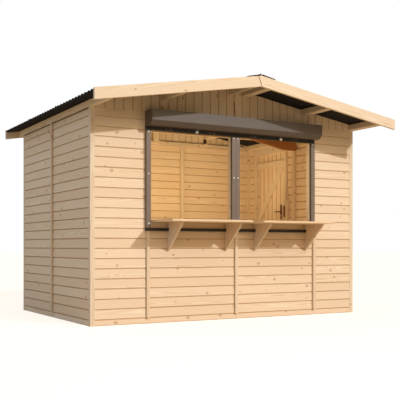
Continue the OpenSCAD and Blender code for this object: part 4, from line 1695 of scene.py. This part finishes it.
@dataclass
class Door:
    """Boarded door with ledges, braces, lever handles and strap hinges."""

    frame: CadFrame
    board: float = 0.0895
    gap: float = 0.004
    pin: float = 0.003
    iron: float = 0.003
    plate_gap: float = 0.0085
    screw_margin: float = 0.014
    knuckle_gap: float = 0.001
    knuckle_radius: float = 0.006
    brace_spare: float = 0.3
    hinges: list[Box] = field(default_factory=list)

    def build(self) -> None:
        """Builds the door and its ironmongery."""
        self.leaf()
        self.ledges()
        self.handle()
        self.straps()
        self.plates()
        self.keep()

    def leaf(self) -> None:
        """Builds the upright boards of the leaf, six whole ones between two narrow ones."""
        box = self.frame.box("door_leaf")
        bench = Bench("door_leaf_boards")
        whole = math.floor(box.size.y / self.board)
        margin = (box.size.y - whole * self.board) / 2
        joints = [box.low.y + margin + n * self.board for n in range(whole + 1)]
        edges = [box.low.y, *joints, box.high.y]
        for low, high in zip(edges, edges[1:]):
            first, last = low == box.low.y, high == box.high.y
            near = low if first else low + self.gap / 2
            far = high if last else high - self.gap / 2
            edge = replace(LEAF_JOINT, tongue=0.0) if last else LEAF_JOINT
            bench.timber(box.with_span(Axis.Y, near, far), Axis.Z, BOARDS, edge)
        bench.finish(Slot.TIMBER, DOOR, ["door_leaf"])

    def ledges(self) -> None:
        """Builds the level ledges and the braces that rise from the hinge side."""
        points = self.frame.points("door_ledges")
        box = self.frame.box("door_ledges")
        heights = sorted({round(p.z, 4) for p in points if abs(p.y - box.low.y) < 1e-4})
        bench = Bench("door_ledges_timber")
        spans = list(zip(heights[0::2], heights[1::2]))
        for low, high in spans:
            bench.timber(box.with_span(Axis.Z, low, high), Axis.Y, FRAMING, ROUNDED)
        for (_, foot), (head, _) in zip(spans, spans[1:]):
            self.brace(bench, box, head, foot, points)
        bench.finish(Slot.TIMBER, DOOR, ["door_ledges"])

    def brace(self, bench: Bench, box: Box, head: float, foot: float, points: list[Vector]) -> None:
        """Builds a brace between two ledges.

        Args:
            bench: The bench of the ledges.
            box: The space of the ledges and braces.
            head: Underside of the upper ledge.
            foot: Top of the lower ledge.
            points: Corners of the CAD node.
        """
        at_head = [p.y for p in points if abs(p.z - head) < 1e-4]
        at_foot = [p.y for p in points if abs(p.z - foot) < 1e-4]
        width = min(y for y in at_head if y > box.low.y + 0.02) - box.low.y
        seat = max(y for y in at_foot if y < box.high.y - 0.002)
        low_end, high_end = Vector((0, seat, foot)), Vector((0, box.low.y, head))
        rise = high_end - low_end
        along = rise.normalized()
        depth = Vector((1, 0, 0))
        across = depth.cross(along)
        if across.y < 0:
            across, depth = -across, -depth
        wide = width * abs(along.z)
        middle = (low_end + high_end) / 2 + across * wide / 2
        middle.x = box.middle.x
        turned = Matrix((along, across, along.cross(across))).transposed().to_4x4()
        turned.translation = middle
        size = Vector((rise.length + self.brace_spare, wide, box.size.x - 0.0004))
        blank = Box(-size / 2, size / 2)
        trims = [(Vector((0, 0, head)), Vector((0, 0, 1))), (Vector((0, 0, foot)), Vector((0, 0, -1))),
                 (Vector((0, box.high.y, 0)), Vector((0, 1, 0)))]
        bench.timber(blank, Axis.X, FRAMING, ROUNDED, turned=turned, trims=trims)

    def handle(self) -> None:
        """Builds the plates, the levers and the lock cylinders on both sides of the leaf."""
        whole = self.frame.box("door_handle")
        leaf = self.frame.box("door_leaf")
        points = self.frame.points("door_handle")
        plate_y = [p.y for p in points if p.z > whole.high.z - 1e-4]
        low_y, high_y = min(plate_y), max(plate_y)
        lever_z = whole.middle.z
        bench = Bench("door_handle_set")
        for side, face, reach in ((-1, leaf.low.x, whole.low.x), (1, leaf.high.x, whole.high.x)):
            near, far = sorted((face, face + side * 0.004))
            plate = Box(Vector((near, low_y, whole.low.z)), Vector((far, high_y, whole.high.z)))
            bench.block(plate, IRON_COAT, 0.0016, 3)
            centre = Vector((face + side * 0.0035, (low_y + high_y) / 2, lever_z))
            outward = Vector((side, 0, 0))
            bench.round_part(facing(centre, outward), 0.012, 0.007, IRON_COAT, 0.011, 24, 0.001)
            neck = abs(reach - centre.x) - 0.004
            bench.round_part(facing(centre, outward), 0.0065, neck, IRON_COAT, segments=20)
            self.lever(bench, centre, side, reach, whole.high.y)
            lock = centre + Vector((side * -0.001, 0, -0.05))
            bench.round_part(facing(lock, outward), 0.0085, 0.004, ZINC, segments=20, bevel=0.0006)
            slot_x = sorted((lock.x + side * 0.0035, lock.x + side * 0.0046))
            slot = Box(Vector((slot_x[0], lock.y - 0.0007, lock.z - 0.004)),
                       Vector((slot_x[1], lock.y + 0.0007, lock.z + 0.004)))
            bench.block(slot, BRUSH, 0.0)
            for z in (whole.low.z + 0.012, whole.high.z - 0.012):
                screw = Vector((face + side * 0.0036, centre.y, z))
                bench.round_part(facing(screw, outward), 0.0036, 0.0012, ZINC, 0.0022, segments=12)
        bench.finish(Slot.IRON, DOOR, ["door_handle"])

    def lever(self, bench: Bench, centre: Vector, side: int, reach: float, end: float) -> None:
        """Builds a lever that turns back a little at its end.

        Args:
            bench: The bench of the handle set.
            centre: Foot of the lever's neck.
            side: Side of the leaf, -1 inside and 1 outside.
            reach: How far out the lever stands.
            end: Where the lever ends along the leaf.
        """
        grip = 0.0066
        x = reach - side * grip
        part = bmesh.new()
        start = centre.y - 0.008
        bmesh.ops.create_cone(part, cap_ends=True, segments=20, radius1=grip, radius2=grip * 0.86,
                              depth=end - start)
        bmesh.ops.rotate(part, cent=(0, 0, 0), matrix=Matrix.Rotation(-math.pi / 2, 3, "X"),
                         verts=part.verts)
        rims = [e for e in part.edges if abs(e.verts[0].co.y - e.verts[1].co.y) < 1e-6]
        round_edges(part, rims, 0.002, 3)
        bmesh.ops.translate(part, vec=(x, (start + end) / 2, centre.z), verts=part.verts)
        bench.join(part, IRON_COAT, smooth=True)

    def straps(self) -> None:
        """Builds the tapered straps on the leaf with their screws and knuckles."""
        bench = Bench("hinge_straps_iron")
        self.hinges = self.frame.solids("hinge_straps")
        pin = Vector(self.joint_place())
        for box in self.hinges:
            leaf = self.frame.box("door_leaf")
            face = leaf.high.x
            strap = Box(Vector((face, box.low.y, box.low.z)),
                        Vector((face + self.iron, leaf.high.y, box.high.z)))
            part = filled(strap)
            for vert in part.verts:
                if vert.co.y < strap.middle.y:
                    vert.co.z = strap.middle.z + (vert.co.z - strap.middle.z) * 0.5
            tip = [e for e in part.edges if all(v.co.y < strap.middle.y for v in e.verts)
                   and abs(e.verts[0].co.x - e.verts[1].co.x) > 1e-4]
            round_edges(part, tip, 0.0072, 4)
            rims = [e for e in part.edges if e.is_manifold and e.calc_face_angle(0) > 0.8]
            round_edges(part, rims, 0.0006, 1)
            bench.join(part, IRON_COAT)
            for n in range(4):
                y = strap.low.y + 0.02 + n * (strap.size.y - 0.045) / 3
                screw = Vector((face + 0.0026, y, strap.middle.z + (0.004 if n == 3 else 0)))
                bench.round_part(facing(screw, RIGHTWARD), 0.0048, 0.0018, ZINC, 0.0026, segments=14)
            self.knuckle(bench, pin, box.low.z, box.high.z)
            link = Box(Vector((face, leaf.high.y - 0.004, box.low.z)),
                       Vector((pin.x - self.pin, pin.y, box.high.z)))
            bench.block(link, IRON_COAT, 0.0)
        bench.finish(Slot.IRON, DOOR, ["hinge_straps"])

    def joint_place(self) -> Sequence[float]:
        """Gives the place of the hinge's axis from the record."""
        return FRAME["joints"][0]["pos_m"]

    def knuckle(self, bench: Bench, pin: Vector, low: float, high: float) -> None:
        """Builds a bored knuckle round the hinge's axis.

        Args:
            bench: The bench of the ironmongery.
            pin: The hinge's axis.
            low: Foot of the knuckle.
            high: Top of the knuckle.
        """
        outer, bore = self.knuckle_radius, self.pin + 0.00025
        part = bmesh.new()
        ring = [part.verts.new((x, 0, z)) for x, z in
                ((bore, 0), (outer - 0.0005, 0), (outer, 0.0005), (outer, high - low - 0.0005),
                 (outer - 0.0005, high - low), (bore, high - low))]
        edges = [part.edges.new(pair) for pair in zip(ring, ring[1:] + ring[:1])]
        bmesh.ops.spin(part, geom=ring + edges, cent=(0, 0, 0), axis=(0, 0, 1), angle=math.tau,
                       steps=24, use_merge=True)
        bmesh.ops.remove_doubles(part, verts=part.verts, dist=1e-6)
        bmesh.ops.recalc_face_normals(part, faces=part.faces)
        bmesh.ops.translate(part, vec=(pin.x, pin.y, low), verts=part.verts)
        bench.join(part, IRON_COAT)

    def plates(self) -> None:
        """Builds the hinge plates on the wall with their knuckles, pins and screws."""
        bench = Bench("hinge_plates_iron")
        pin = Vector(self.joint_place())
        wall = self.frame.box("door_leaf").high.x
        for box in self.frame.solids("hinge_plates"):
            strap = min(self.hinges, key=lambda h: abs(h.middle.z - box.middle.z))
            near = pin.y + self.plate_gap
            plate = Box(Vector((wall, near, box.low.z)),
                        Vector((wall + self.iron, box.high.y, box.high.z)))
            bench.block(plate, IRON_COAT, 0.0008)
            below, above = strap.low.z - self.knuckle_gap, strap.high.z + self.knuckle_gap
            for low, high in ((box.low.z, below), (above, box.high.z)):
                self.knuckle(bench, pin, low, high)
                link = Box(Vector((wall, pin.y + self.pin, low)), Vector((pin.x, pin.y + 0.012, high)))
                bench.block(link, IRON_COAT, 0.0)
            place = Matrix.Translation((pin.x, pin.y, box.low.z))
            bench.round_part(place, self.pin, box.size.z, ZINC, segments=16, bevel=0.0006)
            for z in (box.low.z + self.screw_margin, box.middle.z, box.high.z - self.screw_margin):
                screw = Vector((wall + 0.0026, (near + box.high.y) / 2 + 0.003, z))
                bench.round_part(facing(screw, RIGHTWARD), 0.0046, 0.0018, ZINC, 0.0026, segments=14)
        bench.finish(Slot.IRON, replaces=["hinge_plates"])

    def keep(self) -> None:
        """Builds the keep of the lock on the door post."""
        box = self.frame.box("lock_keep")
        bench = Bench("lock_keep_plate")
        bench.block(box, IRON_COAT, 0.0008)
        for z in (box.low.z + self.screw_margin, box.high.z - self.screw_margin):
            screw = Vector((box.low.x + 0.0004, box.middle.y, z))
            bench.round_part(facing(screw, -RIGHTWARD), 0.0038, 0.0004, ZINC, 0.003, segments=12)
        bench.finish(Slot.IRON, replaces=["lock_keep"])


# ----------------------------------------------------------------------------- nails


@dataclass
class Nailing:
    """Nail heads where the level wall boards are fixed."""

    frame: CadFrame
    rows: BoardRows
    head: float = 0.0027
    stand: float = 0.0006
    inset: float = 0.026

    def build(self) -> None:
        """Drives the nails of each wall."""
        self.level_boards("front_nails", Axis.X, ("front_panel_left", "front_panel_right",
                                                  "front_sill_left", "front_sill_right"), -1)
        self.level_boards("back_nails", Axis.X, ("back_panel_left", "back_panel_middle",
                                                 "back_panel_right"), 1)
        self.level_boards("left_nails", Axis.Y, ("left_wall_front", "left_wall_rear"), -1)
        self.level_boards("right_nails", Axis.Y, ("right_wall_front", "right_wall_beside_door",
                                                  "right_wall_rear"), 1)

    def level_boards(self, name: str, grain: Axis, nodes: Sequence[str], side: int) -> None:
        """Drives two nails into each end of each board of some walls.

        Args:
            name: Name of the piece.
            grain: Which way the boards run.
            nodes: The walls.
            side: -1 where the wall faces down its axis, 1 where it faces up.
        """
        bench = Bench(name)
        through = Axis.Y if grain is Axis.X else Axis.X
        normal = Vector((0, 0, 0))
        normal[through.value] = side
        for node in nodes:
            box = self.frame.box(node)
            face = box.low[through.value] if side < 0 else box.high[through.value]
            ends = (box.low[grain.value] + self.inset, box.high[grain.value] - self.inset)
            for foot, top in self.rows.spans(box.low.z, box.high.z):
                if top - foot < 0.04:
                    continue
                for along in ends:
                    for share in (0.28, 0.74):
                        point = Vector((0, 0, foot + (top - foot) * share))
                        point[grain.value] = along + bench.random.uniform(-0.003, 0.003)
                        recess = LEVEL_JOINT.taper * share
                        point[through.value] = face - side * (self.stand + 0.0004 + recess)
                        bench.round_part(facing(point, normal), self.head, self.stand, NAIL_STEEL,
                                         self.head * 0.7, segments=8)
        bench.finish(Slot.IRON)


# ----------------------------------------------------------------------------- scene


@dataclass(frozen=True)
class Sun:
    """The key light: a large far lamp, high on the right in front of the stall."""

    travel: Vector = field(default_factory=lambda: Vector((-0.209, 0.419, -0.237)))
    energy: float = 1.72
    angle: float = 0.035
    colour: Colour = (0.98, 0.985, 1.02)

    def place(self) -> None:
        """Adds the lamp to the scene."""
        data = bpy.data.lights.new("key", "SUN")
        data.energy = self.energy
        data.angle = self.angle
        data.color = self.colour
        lamp = bpy.data.objects.new("key", data)
        lamp.rotation_euler = self.travel.to_track_quat("-Z", "Y").to_euler()
        bpy.context.scene.collection.objects.link(lamp)


@dataclass(frozen=True)
class SoftBox:
    """A warm soft lamp, unseen by the camera."""

    name: str
    place: Vector
    towards: Vector
    width: float
    height: float
    power: float
    colour: Colour = (1.0, 0.85, 0.58)

    def hang(self) -> None:
        """Adds the lamp to the scene."""
        data = bpy.data.lights.new(self.name, "AREA")
        data.shape = "RECTANGLE"
        data.size, data.size_y = self.width, self.height
        data.energy = self.power
        data.color = self.colour
        lamp = bpy.data.objects.new(self.name, data)
        lamp.location = self.place
        lamp.rotation_euler = (self.towards - self.place).to_track_quat("-Z", "Y").to_euler()
        lamp.visible_camera = False
        bpy.context.scene.collection.objects.link(lamp)


@dataclass(frozen=True)
class Studio:
    """Camera, soft fill light and a plain pale floor."""

    sun: Sun = field(default_factory=Sun)
    soft_boxes: tuple[SoftBox, ...] = (
        SoftBox("inside_back", Vector((0.0, 0.12, 1.35)), Vector((0.0, 0.99, 1.72)), 2.5, 0.7, 10.4,
                (1.0, 0.80, 0.46)),
        SoftBox("inside_right", Vector((-0.9, 0.1, 1.25)), Vector((1.48, 0.0, 1.35)), 1.0, 0.9, 6.4,
                (1.0, 0.74, 0.34)),
        SoftBox("inside_front", Vector((0.75, -0.6, 1.3)), Vector((1.48, -0.6, 1.5)), 0.5, 0.8, 2.5,
                (1.0, 0.78, 0.42)),
        SoftBox("front_fill", Vector((0.4, -7.0, 5.0)), Vector((0.3, -1.0, 1.2)), 5.0, 4.0, 165.0,
                (1.0, 0.87, 0.64)),
    )
    camera: Vector = field(default_factory=lambda: Vector((-3.9571, -7.3216, 0.7134)))
    heading: float = -29.5
    lens: float = 68.43
    shift: float = 0.1148
    fill: float = 0.62
    low_colour: Colour = (0.53, 0.405, 0.235)
    high_colour: Colour = (0.83, 0.955, 1.10)
    high_side: Vector = field(default_factory=lambda: Vector((-0.75, 0.25, 0.61)))
    floor_colour: Colour = (0.66, 0.50, 0.31)
    floor_glow: float = 0.72
    reach: float = 60.0

    def build(self) -> None:
        """Sets up everything that isn't part of the object."""
        self.sun.place()
        for lamp in self.soft_boxes:
            lamp.hang()
        self.sky()
        self.floor()
        self.view()
        bpy.context.scene.view_settings.view_transform = "Standard"

    def sky(self) -> None:
        """Gives the world a soft fill light, cooler from the upper left, and a white background."""
        world = bpy.data.worlds.new("studio")
        world.use_nodes = True
        bpy.context.scene.world = world
        tree = world.node_tree
        path = tree.nodes.new("ShaderNodeLightPath")
        fill = tree.nodes["Background"]
        fill.inputs["Strength"].default_value = self.fill
        place = tree.nodes.new("ShaderNodeTexCoord")
        share = tree.nodes.new("ShaderNodeVectorMath")
        share.operation = "DOT_PRODUCT"
        share.inputs[1].default_value = self.high_side
        bands = tree.nodes.new("ShaderNodeValToRGB")
        bands.color_ramp.elements[0].position = 0.05
        bands.color_ramp.elements[0].color = (*self.low_colour, 1)
        bands.color_ramp.elements[1].position = 0.5
        bands.color_ramp.elements[1].color = (*self.high_colour, 1)
        tree.links.new(place.outputs["Generated"], share.inputs[0])
        tree.links.new(share.outputs["Value"], bands.inputs[0])
        tree.links.new(bands.outputs[0], fill.inputs["Color"])
        white = tree.nodes.new("ShaderNodeBackground")
        white.inputs["Color"].default_value = (1, 1, 1, 1)
        white.inputs["Strength"].default_value = 1.0
        mix = tree.nodes.new("ShaderNodeMixShader")
        tree.links.new(path.outputs["Is Camera Ray"], mix.inputs[0])
        tree.links.new(fill.outputs[0], mix.inputs[1])
        tree.links.new(white.outputs[0], mix.inputs[2])
        tree.links.new(mix.outputs[0], tree.nodes["World Output"].inputs[0])

    def floor(self) -> None:
        """Adds the floor, which keeps the object's shadow and looks nearly white."""
        mesh = bmesh.new()
        bmesh.ops.create_grid(mesh, x_segments=1, y_segments=1, size=self.reach)
        data = bpy.data.meshes.new("studio_floor")
        mesh.to_mesh(data)
        mesh.free()
        floor = bpy.data.objects.new("studio_floor", data)
        bpy.context.scene.collection.objects.link(floor)
        mix = Recipe("studio_floor")
        speck = mix.noise(mix.node("TexCoord").outputs["Object"], 3.0, 2.0)
        colour = mix.mix(mix.ramp(speck, 0.3, 0.7, 0.0, 0.08), self.floor_colour, (0.64, 0.50, 0.33))
        mix.shade(Base_Color=colour, Roughness=0.9, Specular_IOR_Level=0.1)
        path = mix.node("LightPath")
        glow = mix.node("Emission", None, Color=(1, 1, 1, 1),
                        Strength=mix.math("MULTIPLY", path.outputs["Is Camera Ray"], self.floor_glow))
        total = mix.node("AddShader", None, i0=mix.shader.outputs[0], i1=glow.outputs[0])
        mix.feed(mix.tree.nodes["Material Output"].inputs["Surface"], total.outputs[0])
        data.materials.append(mix.material)

    def view(self) -> None:
        """Places the camera."""
        data = bpy.data.cameras.new("camera")
        data.lens = self.lens
        data.sensor_width = 36.0
        data.shift_y = self.shift
        data.clip_end = 200.0
        camera = bpy.data.objects.new("camera", data)
        camera.location = self.camera
        camera.rotation_euler = (math.radians(90), 0, math.radians(self.heading))
        bpy.context.scene.collection.objects.link(camera)
        bpy.context.scene.camera = camera


def main() -> None:
    """Builds the stall around its frame."""
    logging.basicConfig(level=logging.INFO, format="%(name)s: %(message)s")
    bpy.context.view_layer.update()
    frame = CadFrame(FRAME)
    roof = RoofPlane.read(frame)
    rows = BoardRows(first=frame.box("cover_strips").low.z)
    Studio().build()
    Floor(frame).build()
    Walls(frame, roof, rows).build()
    Roof(frame, roof).build()
    Shutter(frame).build()
    Shelves(frame).build()
    Door(frame).build()
    Nailing(frame, rows).build()


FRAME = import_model()
if __name__ == "__main__":
    main()
